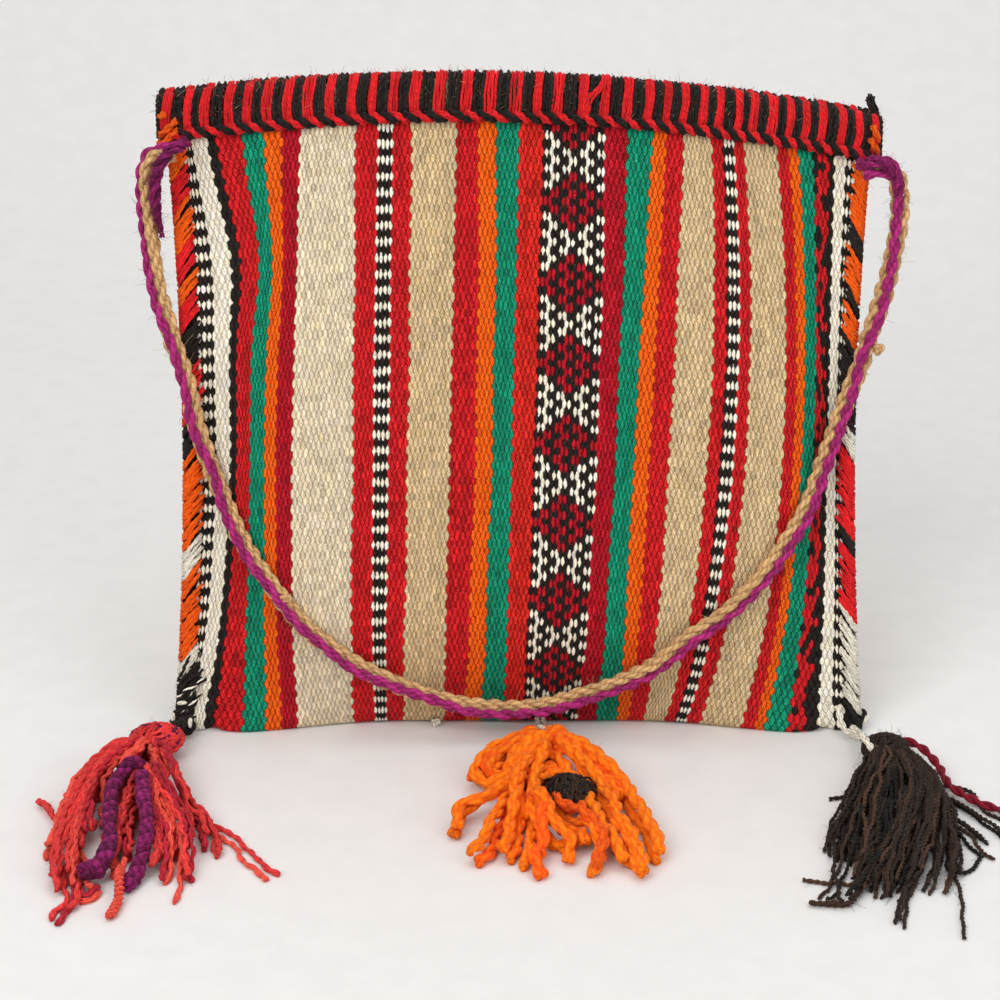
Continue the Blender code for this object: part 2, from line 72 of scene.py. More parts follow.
def smoothPath(points, count):  # Catmull-Rom through the points, read at even steps of its length
    knots = np.asarray(points, float)
    knots = np.vstack([2 * knots[0] - knots[1], knots, 2 * knots[-1] - knots[-2]])
    t = np.arange(24)[:, None] / 24
    runs = []
    for a, b, c, d in zip(knots, knots[1:], knots[2:], knots[3:]):
        runs.append(0.5 * (2 * b + (c - a) * t + (2 * a - 5 * b + 4 * c - d) * t**2
                           + (3 * b - a - 3 * c + d) * t**3))
    fine = np.vstack(runs + [knots[-2][None]])
    lengths = np.r_[0, np.cumsum(np.linalg.norm(np.diff(fine, axis=0), axis=1))]
    wanted = np.linspace(0, lengths[-1], count)
    return np.stack([np.interp(wanted, lengths, fine[:, axis]) for axis in range(3)], axis=1)


def pathLength(path):
    return float(np.linalg.norm(np.diff(path, axis=0), axis=1).sum())


def runningLength(paths):  # length run so far at each point of each path, (n, m)
    steps = np.linalg.norm(np.diff(paths, axis=1), axis=2)
    return np.concatenate([np.zeros((len(paths), 1)), np.cumsum(steps, axis=1)], axis=1)


def carriedFrames(paths, first=None):
    # a normal carried along each path without turning about it: n <- n - t (n.t), side = t x n
    tangents = unit(np.gradient(paths, axis=1))
    normals = np.empty_like(paths)
    if first is None:  # the axis that lies most across the start of each path
        normal = np.eye(3)[np.argmin(np.abs(tangents[:, 0]), axis=1)]
    else:
        normal = np.broadcast_to(np.asarray(first, float), paths[:, 0].shape).copy()
    for step in range(paths.shape[1]):
        tangent = tangents[:, step]
        normal = unit(normal - tangent * (normal * tangent).sum(-1, keepdims=True) + 1e-9)
        normals[:, step] = normal
    return normals, np.cross(tangents, normals)


def helices(paths, count, offset, pitch, start=0.0):
    # each path becomes count paths that wind round it: p + offset (n cos a + b sin a), a = 2 pi s / pitch
    normals, sides = carriedFrames(paths)
    offset = np.asarray(offset)[..., None]
    turn = 2 * pi * runningLength(paths) / pitch
    start = np.broadcast_to(np.asarray(start, float), (len(paths),))
    wound = []
    for ply in range(count):
        angle = (turn + start[:, None] + 2 * pi * ply / count)[..., None]
        wound.append(paths + offset * (normals * np.cos(angle) + sides * np.sin(angle)))
    return np.concatenate(wound)


def colourAttribute(mesh, key, domain, tints):
    full = np.concatenate([tints, np.ones((len(tints), 1))], axis=1).astype(np.float32)
    mesh.attributes.new(key, "FLOAT_COLOR", domain).data.foreach_set("color", full.ravel())


def meshPiece(name, points, faces, uv=None, pointTints=None, faceTints=None):
    # faces is a list of integer arrays, one array for each number of corners; uv is given for each point
    mesh = bpy.data.meshes.new(name)
    sizes = np.concatenate([np.full(len(part), part.shape[1]) for part in faces if len(part)])
    corners = np.concatenate([part.ravel() for part in faces if len(part)]).astype(np.int32)
    mesh.vertices.add(len(points))
    mesh.vertices.foreach_set("co", np.asarray(points, np.float32).ravel())
    mesh.loops.add(len(corners))
    mesh.loops.foreach_set("vertex_index", corners)
    mesh.polygons.add(len(sizes))
    mesh.polygons.foreach_set("loop_start", np.r_[0, np.cumsum(sizes)[:-1]].astype(np.int32))
    mesh.update(calc_edges=True)
    if uv is not None:
        layer = mesh.uv_layers.new(name="UVMap")
        layer.data.foreach_set("uv", np.asarray(uv, np.float32)[corners].ravel())
    for key, tints in (pointTints or {}).items():
        colourAttribute(mesh, key, "POINT", tints)
    for key, tints in (faceTints or {}).items():
        colourAttribute(mesh, key, "CORNER", np.repeat(tints, sizes, axis=0))
    mesh.validate()
    mesh.shade_smooth()
    item = bpy.data.objects.new(name, mesh)
    bpy.context.scene.collection.objects.link(item)
    return item


def tubePoints(paths, radii, sides):
    # a ring round each point of each path, p + r (n cos a + b sin a), with a closed cap at both ends
    count, steps = paths.shape[:2]
    normals, across = carriedFrames(paths)
    radii = np.broadcast_to(np.asarray(radii, float), (count, steps))
    angle = 2 * pi * np.arange(sides) / sides
    ring = normals[:, :, None] * np.cos(angle)[:, None] + across[:, :, None] * np.sin(angle)[:, None]
    points = paths[:, :, None] + radii[:, :, None, None] * ring
    index = np.arange(count * steps * sides).reshape(count, steps, sides)
    after = np.roll(index, -1, axis=2)
    quads = np.stack([index[:, :-1], after[:, :-1], after[:, 1:], index[:, 1:]], axis=-1).reshape(-1, 4)
    caps = np.concatenate([index[:, 0, ::-1], index[:, -1]])
    along = np.broadcast_to(runningLength(paths)[:, :, None], index.shape)
    round_ = np.broadcast_to(np.arange(sides) / sides, index.shape)
    uv = np.stack([round_, along], axis=-1).reshape(-1, 2)
    return points.reshape(-1, 3), [quads, caps], uv


def perPoint(values, paths, sides):  # one value for each path, spread over its points
    steps = paths.shape[1]
    return np.repeat(np.asarray(values, float), steps * sides, axis=0)


def strandPiece(name, groups, look):
    # tubes joined into one piece; each group is (paths, radii, sides, a colour for each path)
    points, faces, places, tints, first = [], [], [], [], 0
    for paths, radii, sides, tint in groups:
        part, partFaces, uv = tubePoints(paths, radii, sides)
        points.append(part)
        places.append(uv)
        faces += [corners + first for corners in partFaces]
        tints.append(perPoint(tint, paths, sides))
        first += len(part)
    points = np.vstack(points)
    points[:, 2] = np.maximum(points[:, 2], 0)  # pressed flat where it lies on the floor
    item = meshPiece(name, points, faces, np.vstack(places), {"strandColour": np.vstack(tints)})
    item.data.materials.append(look)
    return item


def seat(item, body, nodes=()):  # the piece moves with its body and stands for its solids
    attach(item, body)
    if nodes:
        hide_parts(*nodes)
    return item


def yarnPiece(name, groups, look, body, slot, *nodes):
    return seat(strandPiece(name, groups, looks[look]), body, nodes)


fuzz = {
    "radius": 0.000085, "points": 5, "sides": 3, "curl": 0.55,
    "shortest": 0.45, "spread": 0.75, "root": 1.15, "thinning": 0.6,
}


def fuzzPiece(name, anchors, length, tints, body, slot, rng):
    # one thin hair from each anchor: p + t (d + curl t e), with d and e at random and t up to its length
    count = len(anchors)
    along = unit(rng.standard_normal((count, 3)))
    aside = unit(rng.standard_normal((count, 3)))
    reach = (length * (fuzz["shortest"] + fuzz["spread"] * rng.random(count) ** 2))[:, None, None]
    t = np.linspace(0, 1, fuzz["points"])[None, :, None]
    paths = anchors[:, None] + reach * t * (along[:, None] + fuzz["curl"] * t * aside[:, None])
    paths[..., 2] = np.maximum(paths[..., 2], fuzz["radius"])
    radii = fuzz["radius"] * (fuzz["root"] - fuzz["thinning"] * t[..., 0])
    return yarnPiece(name, [(paths, radii, fuzz["sides"], tints)], "hair", body, slot)


def pickFrom(rng, anchors, count):
    return anchors[rng.integers(0, len(anchors), count)]


def mixedTints(rng, names, count, spread=0.2):
    table = np.array([colours[name] for name in names])
    tone = 1 + spread * rng.standard_normal((count, 1))
    return np.clip(table[rng.integers(0, len(names), count)] * tone, 0.003, 0.9)


# Looks

def sRgb(r, g, b):  # a colour as seen, 0 to 255, in linear light
    c = np.array([r, g, b], float) / 255
    return tuple(np.where(c <= 0.04045, c / 12.92, ((c + 0.055) / 1.055) ** 2.4))


colours = {
    "red": sRgb(206, 26, 32), "orangeRed": sRgb(216, 38, 28), "crimson": sRgb(180, 14, 34),
    "orange": sRgb(255, 100, 2), "green": sRgb(8, 146, 112), "beige": sRgb(214, 190, 148),
    "paleBeige": sRgb(228, 214, 186), "black": sRgb(34, 29, 26), "white": sRgb(242, 238, 222),
    "magenta": sRgb(182, 46, 124), "tan": sRgb(222, 182, 128), "coral": sRgb(234, 66, 64),
    "purple": sRgb(112, 22, 78), "brightOrange": sRgb(255, 134, 8), "darkBrown": sRgb(58, 44, 36),
    "brown": sRgb(98, 70, 54), "deepCrimson": sRgb(150, 22, 48), "umber": sRgb(80, 58, 46),
    "coralLight": sRgb(248, 94, 76), "coralDeep": sRgb(196, 40, 58), "plum": sRgb(124, 20, 82),
    "violet": sRgb(150, 32, 104), "brightOrangeDeep": sRgb(250, 108, 4), "wrapRed": sRgb(236, 34, 40),
    "wrapOrange": sRgb(255, 104, 8),
}


class Nodes:  # short words for building a material's nodes
    def __init__(self, name, roughness=0.9):
        self.material = bpy.data.materials.new(name)
        self.material.use_nodes = True
        self.tree = self.material.node_tree
        self.shader = self.tree.nodes["Principled BSDF"]
        self.shader.inputs["Roughness"].default_value = roughness
        self.shader.inputs["Specular IOR Level"].default_value = 0.25

    def add(self, kind, **settings):
        node = self.tree.nodes.new("ShaderNode" + kind)
        for key, value in settings.items():
            setattr(node, key, value)
        return node

    def put(self, value, socket):
        if hasattr(value, "is_output"):
            self.tree.links.new(value, socket)
        else:
            socket.default_value = value

    def math(self, operation, a, b=0.0, clamp=False):
        node = self.add("Math", operation=operation, use_clamp=clamp)
        for socket, value in zip(node.inputs, (a, b)):
            self.put(value, socket)
        return node.outputs[0]

    def plus(self, a, b, clamp=False):
        return self.math("ADD", a, b, clamp)

    def minus(self, a, b):
        return self.math("SUBTRACT", a, b)

    def times(self, a, b):
        return self.math("MULTIPLY", a, b)

    def tinted(self, colour, tint):  # the colour times another one
        return self.mix(1.0, colour, tint, "MULTIPLY")

    def mix(self, share, a, b, blend="MIX"):
        node = self.add("Mix", data_type="RGBA", blend_type=blend)
        self.put(share, node.inputs[0])
        for socket, value in ((node.inputs[6], a), (node.inputs[7], b)):
            self.put(value if hasattr(value, "is_output") else (*value, 1), socket)
        return node.outputs[2]

    def noise(self, vector, scale, detail=2.0, roughness=0.5):
        node = self.add("TexNoise")
        self.put(vector, node.inputs["Vector"])
        node.inputs["Scale"].default_value = scale
        node.inputs["Detail"].default_value = detail
        node.inputs["Roughness"].default_value = roughness
        return node.outputs["Fac"]

    def span(self, value, low, high, start=0.0, end=1.0):
        node = self.add("MapRange", clamp=True)
        keys = ("Value", "From Min", "From Max", "To Min", "To Max")
        for key, number in zip(keys, (value, low, high, start, end)):
            self.put(number, node.inputs[key])
        return node.outputs[0]

    def attribute(self, name):
        return self.add("Attribute", attribute_name=name)

    def objectPlace(self):
        return self.add("TexCoord").outputs["Object"]

    def uvPlace(self):
        return self.add("UVMap", uv_map="UVMap").outputs[0]

    def bump(self, height, distance, strength=1.0):
        node = self.add("Bump")
        self.put(height, node.inputs["Height"])
        node.inputs["Distance"].default_value = distance
        node.inputs["Strength"].default_value = strength
        self.put(node.outputs[0], self.shader.inputs["Normal"])

    def sheen(self, weight, tint, roughness=0.5):
        self.shader.inputs["Sheen Weight"].default_value = weight
        self.shader.inputs["Sheen Roughness"].default_value = roughness
        self.shader.inputs["Sheen Tint"].default_value = (*tint, 1)


# line, grain, shadeFrom and shadeTo place the painted shade and painted highlight; depth sets how coloured the painted
# shade is, pale how much white the painted highlight takes
yarnLooks = {
    "fibrePitch": 0.0030, "fibreDepth": 0.00016, "sheen": 0.05, "specular": 0.10, "roughness": 0.92,
    "wanderScale": 700.0, "wander": 0.9, "grainScale": 2600.0, "line": 0.20, "grain": 1.25,
    "shadeFrom": 0.20, "shadeTo": 1.05, "depth": 0.55, "pale": 0.010, "blotchScale": 140.0,
}


def yarnMaterial(name, fibrePitch=None, fibres=3, low=0.42, high=1.35, blotch=0.22, warm=0.95):
    # the colour of each strand from its own attribute, with painted shade between the fibres that wind round it and a
    # painted highlight on them
    y = yarnLooks
    look = Nodes(name, y["roughness"])
    base = look.attribute("strandColour").outputs["Color"]
    uv = look.add("SeparateXYZ")
    look.put(look.uvPlace(), uv.inputs[0])
    along = look.math("DIVIDE", uv.outputs[1], fibrePitch or y["fibrePitch"])
    place = look.objectPlace()
    wander = look.times(look.noise(place, y["wanderScale"], 2.0), y["wander"])
    turn = look.plus(look.plus(along, look.times(uv.outputs[0], float(fibres))), wander)
    line = look.math("SINE", look.times(turn, 2 * pi))
    fine = look.noise(place, y["grainScale"], 3.0, 0.65)
    shade = look.plus(look.times(line, y["line"]), look.times(fine, y["grain"]))
    shade = look.span(shade, y["shadeFrom"], y["shadeTo"])
    # painted shade: dark is a darker, more saturated copy of the colour; painted highlight: light is a lighter copy
    # with a little white; shade chooses between them
    deep = look.mix(y["depth"], base, look.tinted(base, base))  # wool is more coloured in its shadows
    dark = look.tinted(deep, (low, low * warm, low * warm))
    light = look.mix(y["pale"], look.tinted(base, (high,) * 3), (1, 1, 1))
    colour = look.mix(shade, dark, light)
    tone = look.span(look.noise(place, y["blotchScale"], 2.0), 0.3, 0.7, 1 - blotch, 1.0)
    grey = look.add("CombineColor")
    for socket in grey.inputs[:3]:
        look.put(tone, socket)
    look.put(look.tinted(colour, grey.outputs[0]), look.shader.inputs["Base Color"])
    look.bump(shade, y["fibreDepth"], 1.0)
    look.sheen(y["sheen"], (1.0, 0.95, 0.92))
    look.shader.inputs["Specular IOR Level"].default_value = y["specular"]
    return look.material


def shades(rng, colour, count, spread=0.12):  # a colour for each strand, a little lighter or darker
    tone = 1 + spread * rng.standard_normal((count, 1))
    return np.clip(np.asarray(colour) * tone, 0.002, 1)


# low and high set how dark the painted shade and how light the painted highlight of each look are; warm tints the
# painted shade redder; the hairy look's strong painted highlight also stands for pale hairs in dark wool
looks = {
    "hair": yarnMaterial("looseHair", low=0.85, high=1.15, blotch=0.05),
    "yarn": yarnMaterial("woolYarn"),
    "soft": yarnMaterial("softWool", blotch=0.18),
    "bright": yarnMaterial("brightWool", low=0.50, high=1.45, blotch=0.12),
    "hairy": yarnMaterial("hairyWool", low=0.55, high=2.4, blotch=0.3),
    "fluffy": yarnMaterial("fluffyWool", fibrePitch=0.0060, low=0.78, high=1.30, blotch=0.10, warm=0.66),
    "silky": yarnMaterial("silkyWool", fibrePitch=0.0050, low=0.45, high=1.50, blotch=0.16),
    "ribbed": yarnMaterial("ribbedWool", fibrePitch=0.0024, fibres=1, low=0.32),
    "strap": yarnMaterial("strapWool", fibrePitch=0.0036, low=0.50, high=1.40, blotch=0.14),
}

# Camera, floor and light

view = {"elevation": 23.0, "distance": 1.150, "target": (-0.0085, -0.010, 0.107), "lens": 91.98}


def makeCamera():
    data = bpy.data.cameras.new("camera")
    data.lens, data.sensor_width = view["lens"], 36.0
    data.clip_start, data.clip_end = 0.05, 50.0
    item = bpy.data.objects.new("camera", data)
    bpy.context.scene.collection.objects.link(item)
    rise = math.radians(view["elevation"])
    back = Vector((0, -math.cos(rise), math.sin(rise)))
    item.location = Vector(view["target"]) + back * view["distance"]
    item.rotation_euler = (pi / 2 - rise, 0, 0)
    bpy.context.scene.camera = item


studio = {
    "floorColour": (0.80, 0.79, 0.775), "floorHalf": 4.0, "backY": 1.1, "backHeight": 3.0, "sweep": 0.6,
    "lampAim": (0, -0.03, 0.12), "ambient": 0.42,
}


def makeFloor():
    # a pale sheet: flat, then a quarter circle up, then upright
    r, y0, half = studio["sweep"], studio["backY"], studio["floorHalf"]
    turn = np.linspace(0, pi / 2, 17)
    y = np.r_[-half, y0 - r + r * np.sin(turn), y0]
    z = np.r_[0, r - r * np.cos(turn), studio["backHeight"]]
    x = np.array([-half, half])
    points = np.stack(np.broadcast_arrays(x[:, None], y[None], z[None]), axis=-1).reshape(-1, 3)
    index = np.arange(len(points)).reshape(2, -1)
    quads = np.stack([index[0, :-1], index[1, :-1], index[1, 1:], index[0, 1:]], axis=-1)
    floor = meshPiece("floor", points, [quads])
    look = Nodes("floorPaper", 0.85)
    grain = look.noise(look.objectPlace(), 60.0, 3.0)
    pale = studio["floorColour"]
    tone = look.mix(look.span(grain, 0.35, 0.65), tuple(0.97 * c for c in pale), pale)
    look.put(tone, look.shader.inputs["Base Color"])
    # the sheet can be seen through from behind, so that a camera there still shows the bag
    oneWay = look.add("MixShader")
    look.put(look.add("NewGeometry").outputs["Backfacing"], oneWay.inputs[0])
    look.put(look.shader.outputs[0], oneWay.inputs[1])
    look.put(look.add("BsdfTransparent").outputs[0], oneWay.inputs[2])
    look.put(oneWay.outputs[0], look.tree.nodes["Material Output"].inputs["Surface"])
    floor.data.materials.append(look.material)


lamps = (
    {"name": "keyLight", "place": (-0.75, -1.25, 1.35), "size": 1.3, "power": 17.0},
    {"name": "fillLight", "place": (1.1, -1.1, 0.9), "size": 1.6, "power": 8.5},
    {"name": "topLight", "place": (0.1, 0.15, 1.7), "size": 1.6, "power": 9.0},
)


def makeLights():
    for lamp in lamps:
        data = bpy.data.lights.new(lamp["name"], "AREA")
        data.shape, data.size, data.energy = "DISK", lamp["size"], lamp["power"]
        item = bpy.data.objects.new(lamp["name"], data)
        bpy.context.scene.collection.objects.link(item)
        item.location = lamp["place"]
        aim = Vector(studio["lampAim"]) - item.location
        item.rotation_euler = aim.to_track_quat("-Z", "Y").to_euler()
    world = bpy.context.scene.world or bpy.data.worlds.new("world")
    bpy.context.scene.world = world
    world.use_nodes = True
    world.node_tree.nodes["Background"].inputs[0].default_value = (1, 1, 1, 1)
    world.node_tree.nodes["Background"].inputs[1].default_value = studio["ambient"]
    bpy.context.scene.view_settings.view_transform = "Standard"


makeCamera()
makeFloor()
makeLights()
print("stage: camera, floor and lights")

# Strap

strap = {
    "diameter": 0.007,
    "route": (
        (-0.1499, 0.0135, 0.2612), (-0.1552, 0.0135, 0.2611), (-0.1602, 0.0134, 0.2592),
        (-0.1630, 0.0130, 0.2530),
        (-0.1636, 0.0122, 0.2440), (-0.1632, 0.0112, 0.2330), (-0.1622, 0.0096, 0.2230),
        (-0.1598, 0.0056, 0.2030),
        (-0.1546, 0.0014, 0.1814), (-0.1480, -0.0034, 0.1600), (-0.1444, -0.0070, 0.1423),
        (-0.1374, -0.0113, 0.1220),
        (-0.1299, -0.0175, 0.1027), (-0.1196, -0.0254, 0.0842), (-0.1004, -0.0348, 0.0604),
        (-0.0871, -0.0373, 0.0476),
        (-0.0658, -0.0384, 0.0332), (-0.0366, -0.0386, 0.0205), (-0.0130, -0.0386, 0.0160),
        (0.0001, -0.0386, 0.0159),
        (0.0209, -0.0386, 0.0200), (0.0551, -0.0386, 0.0342), (0.0750, -0.0382, 0.0501),
        (0.0953, -0.0348, 0.0653),
        (0.1159, -0.0261, 0.0864), (0.1303, -0.0164, 0.1080), (0.1373, -0.0103, 0.1277),
        (0.1439, -0.0062, 0.1468),
        (0.1488, -0.0032, 0.1608), (0.1550, 0.0008, 0.1792), (0.1594, 0.0040, 0.1931),
        (0.1638, 0.0076, 0.2109),
        (0.1659, 0.0098, 0.2269), (0.1661, 0.0112, 0.2400), (0.1646, 0.0118, 0.2488),
        (0.1606, 0.0119, 0.2538),
        (0.1556, 0.0118, 0.2540), (0.1499, 0.0118, 0.2530),
    ),
    # where the magenta strand lies round the rope: 0 faces the viewer, 90 the inside of the bend
    "turnShares": (0.0, 0.03, 0.06, 0.10, 0.135, 0.17, 0.27, 0.36, 0.46, 0.56, 0.68, 0.78, 0.86, 0.93, 1.0),
    "turnDegrees": (200, 230, 262, 292, 336, 352, 352, 354, 358, 300, 296, 330, 360, 372, 380),
    "magentaOffset": 0.00245, "magentaPly": 0.00138, "magentaPitch": 0.0170,
    "tanOffset": 0.00230, "tanPly": 0.00142, "tanPitch": 0.0150, "steps": 680, "sides": 7,
    "core": 0.0019, "bead": 0.0085, "tanFibres": 3000, "magentaFibres": 700, "fibreLength": 0.0052,
    "knots": ((-0.1042, -0.0345, 0.0690), (0.1590, -0.0006, 0.1755)), "knotSize": 0.0022,
    "knotRadius": 0.0010,
    # how much wider and narrower each ply is over a bead, and how far into its strand it lies
    "thin": 0.84, "thick": 0.26, "plyShare": 0.82,
    # coreTone: the core is darker than the tan strands, painted shade in the gaps between them
    "tones": {"magenta": (0.80, 1.12), "tan": (0.94, 1.06)}, "coreTone": 0.7,
}


def makeStrap():
    s = strap
    centre = smoothPath(s["route"], s["steps"])
    length = pathLength(centre)
    share = np.linspace(0, 1, s["steps"])
    tangent = unit(np.gradient(centre, axis=0))
    outward = unit(np.array([0, -1, 0]) - tangent * tangent[:, 1:2] * -1)
    inside = unit(np.cross(outward, tangent))
    rng = np.random.default_rng(11)
    turn = np.radians(np.interp(share, s["turnShares"], s["turnDegrees"]))
    turn = turn + 0.22 * np.sin(share * 61) + 0.12 * np.sin(share * 140 + 1)  # small uneven turns
    parts = []
    anchors = {"magenta": [], "tan": []}
    for number, (offset, ply, pitch, colour, lag) in enumerate((
        (s["magentaOffset"], s["magentaPly"], s["magentaPitch"], "magenta", 0.0),
        (s["tanOffset"], s["tanPly"], s["tanPitch"], "tan", 2.15),
        (s["tanOffset"], s["tanPly"], s["tanPitch"], "tan", 4.10),
    )):
        angle = turn + lag + 0.15 * np.sin(share * 90 + number)
        line = centre + offset * (outward * np.cos(angle)[:, None] + inside * np.sin(angle)[:, None])
        plies = helices(line[None], 2, ply * s["plyShare"], pitch, number)
        uneven = 0.6 * np.sin(share * 70 + number)
        bead = np.abs(np.sin(pi * share * length / s["bead"] + number + uneven)) ** 0.7
        swell = ply * (s["thin"] + s["thick"] * bead + 0.05 * np.sin(share * 411 + number))
        points, faces, uv = tubePoints(plies, swell[None], s["sides"])
        anchors[colour].append(plies.reshape(-1, 3))
        tint = np.clip(np.outer(s["tones"][colour], colours[colour]), 0, 1)
        tint = perPoint(tint, plies, s["sides"])
        parts.append((points, faces, uv, tint))
    # a core, darker than the strands, fills the rope; it shows in the gaps as painted shade
    core = centre[None, ::4]
    points, faces, uv = tubePoints(core, s["core"], s["sides"])
    parts.append((points, faces, uv, perPoint(s["coreTone"] * np.array([colours["tan"]]), core, s["sides"])))
    first = np.cumsum([0] + [len(part[0]) for part in parts])
    faces = [np.concatenate([part[1][kind] + start for part, start in zip(parts, first)]) for kind in (0, 1)]
    item = meshPiece(
        "strap_rope", np.vstack([part[0] for part in parts]), faces, np.vstack([part[2] for part in parts]),
        {"strandColour": np.vstack([part[3] for part in parts])},
    )
    item.data.materials.append(looks["strap"])
    seat(item, "strap", ["strap_cord"])
    for colour, names in (("tan", ("tan", "tan", "beige")), ("magenta", ("magenta",))):
        places = pickFrom(rng, np.concatenate(anchors[colour]), s[colour + "Fibres"])
        tints = mixedTints(rng, names, len(places))
        fuzzPiece(f"strap_{colour}_fuzz", places, s["fibreLength"], tints, "strap", "strap_wool", rng)
    knots = np.array([trefoil(place, s["knotSize"], 40) for place in s["knots"]])
    tints = shades(rng, colours["tan"], len(knots))
    yarnPiece("strap_knots", [(knots, s["knotRadius"], 7, tints)], "soft", "strap", "strap_wool")
    print("stage: strap, length", round(length, 4))


# The form of the cloth, the same formulas as its solids, for whole arrays at once

def seamY(z):
    return bag["seamFoot"] + z * math.tan(bag["lean"])


def halfWidth(z):
    return bag["waistHalfWidth"] + (bag["halfWidth"] - bag["waistHalfWidth"]) * (z / bag["waistHeight"] - 1) ** 2


def rimTop(u, side):
    arch = 1 - u * u
    drop = bag["backDrop"] * arch if side > 0 else 0
    return bag["cornerHeight"] + bag["rimCrown"] * arch - bag["rimDroop"] * u - drop


def clothTop(u, side):
    return rimTop(u, side) - bag["rimWall"] - bag["ribHeight"] / 2 - bag["rimPlay"]


def layerGap(u, z):
    low = rimTop(np.sign(u), -1) - bag["rimDepth"] - bag["mouthSpreadDepth"]
    return bag["seamGap"] + bag["mouthSpread"] * smoothStep((z - low) / bag["mouthSpreadDepth"])


def clothHalfWidth(z):
    return halfWidth(z) - bag["lacingWall"] - bag["lacingPlay"]


def fullness(u):
    seam = 1 - bag["seamZone"] / bag["waistHalfWidth"]
    flat = bag["flatShare"]
    return 1 - np.clip((np.abs(u) - flat) / (seam - flat), 0, 1) ** bag["pillowPower"]


def wallY(u, z, side):
    word = "front" if side < 0 else "back"
    reach, belly = bag[word + "Reach"], bag[word + "Belly"]
    top = rimTop(u, side)
    mouth = seamY(top) + side * bag["mouthHalfDepth"]
    share = np.clip((z - belly) / (top - belly), 0, None) ** bag["facePower"]
    full = side * reach + (mouth - side * reach) * share
    flat = seamY(z) + side * (layerGap(u, z) + bag["clothThickness"])
    return flat + fullness(u) * (full - flat)


foot = {  # the front's lower edge lies in a curve on the floor and is rounder in the middle than its solid's
    "middle": -0.0221, "ends": -0.0302, "from": 0.35, "over": 0.50,
    "swell": 0.0024, "round": 0.0040, "crease": 6,
}


def frontFoot(u, full, seamZ, fullZ, fold, flat):
    # down the wall below the belly, round the lower edge and back under the bag to the fold
    belly = bag["frontBelly"]
    z = np.maximum(seamZ + (1 - (1 - full) ** foot["crease"]) * (fullZ - seamZ) - bag["settle"], 0)
    sideways = smoothStep((np.abs(u) - foot["from"]) / foot["over"])
    edge = foot["middle"] + (foot["ends"] - foot["middle"]) * sideways
    edge = edge - foot["swell"] * 4 * full * (1 - full)
    rise = np.clip(z / belly, 0, 1)
    y = edge + (wallY(u, belly, -1) - edge) * (full * (1 - (1 - rise) ** 2) + (1 - full) * rise)
    near = 1 - np.clip(z / foot["round"], 0, 1)
    y = y + full * foot["round"] * (1 - np.sqrt(1 - near**2))
    return y + (fold - y) * flat, z


def clothPoint(u, share, side):
    # share runs down the cloth: 0 at the rim, 1 at the fold under the bag; u runs across it, -1 to 1
    word = "front" if side < 0 else "back"
    reach, belly, curl = (bag[word + part] for part in ("Reach", "Belly", "Curl"))
    wall, turned = bag["wallShare"], bag["curlShare"]
    top = clothTop(u, side)
    wallZ = top + (belly - top) * np.minimum(share / wall, 1)
    low = np.clip((share - wall) / (1 - wall), 0, 1)
    seamZ = bag["seamLift"] + (belly - bag["seamLift"]) * (1 - low) ** bag["seamPower"]
    angle = pi / 2 * np.clip((share - wall) / (turned - wall), 0, 1)
    start = side * (reach - curl)
    flat = np.clip((share - turned) / (1 - turned), 0, 1)
    end = bag["foldY"] + side * bag["clearance"] / 2
    curled = side * (reach - curl * (1 - np.cos(angle)))
    fullY = np.where(share <= turned, curled, start + (end - start) * flat)
    fullZ = np.where(share <= turned, belly * (1 - np.sin(angle)), 0)
    flatY = seamY(seamZ) + side * (layerGap(u, seamZ) + bag["clothThickness"])
    full = fullness(u)
    curlY = flatY + full * (fullY - flatY) + side * bag["foldSpread"] * low * 4 * full * (1 - full)
    curlZ = np.maximum(seamZ + full * (fullZ - seamZ) - bag["settle"], 0)
    if side < 0:
        lift = bag["seamLift"]
        seam = seamY(lift) - layerGap(u, lift) - bag["clothThickness"]
        fold = seam + full * (end - seam) - bag["foldSpread"] * 4 * full * (1 - full)
        curlY, curlZ = frontFoot(u, full, seamZ, fullZ, fold, flat)
    onWall = share <= wall
    y = np.where(onWall, wallY(u, wallZ, side), curlY)
    z = np.where(onWall, wallZ, curlZ)
    return np.stack([u * clothHalfWidth(np.where(onWall, wallZ, seamZ)), y, z], axis=-1)


# Woven cloth

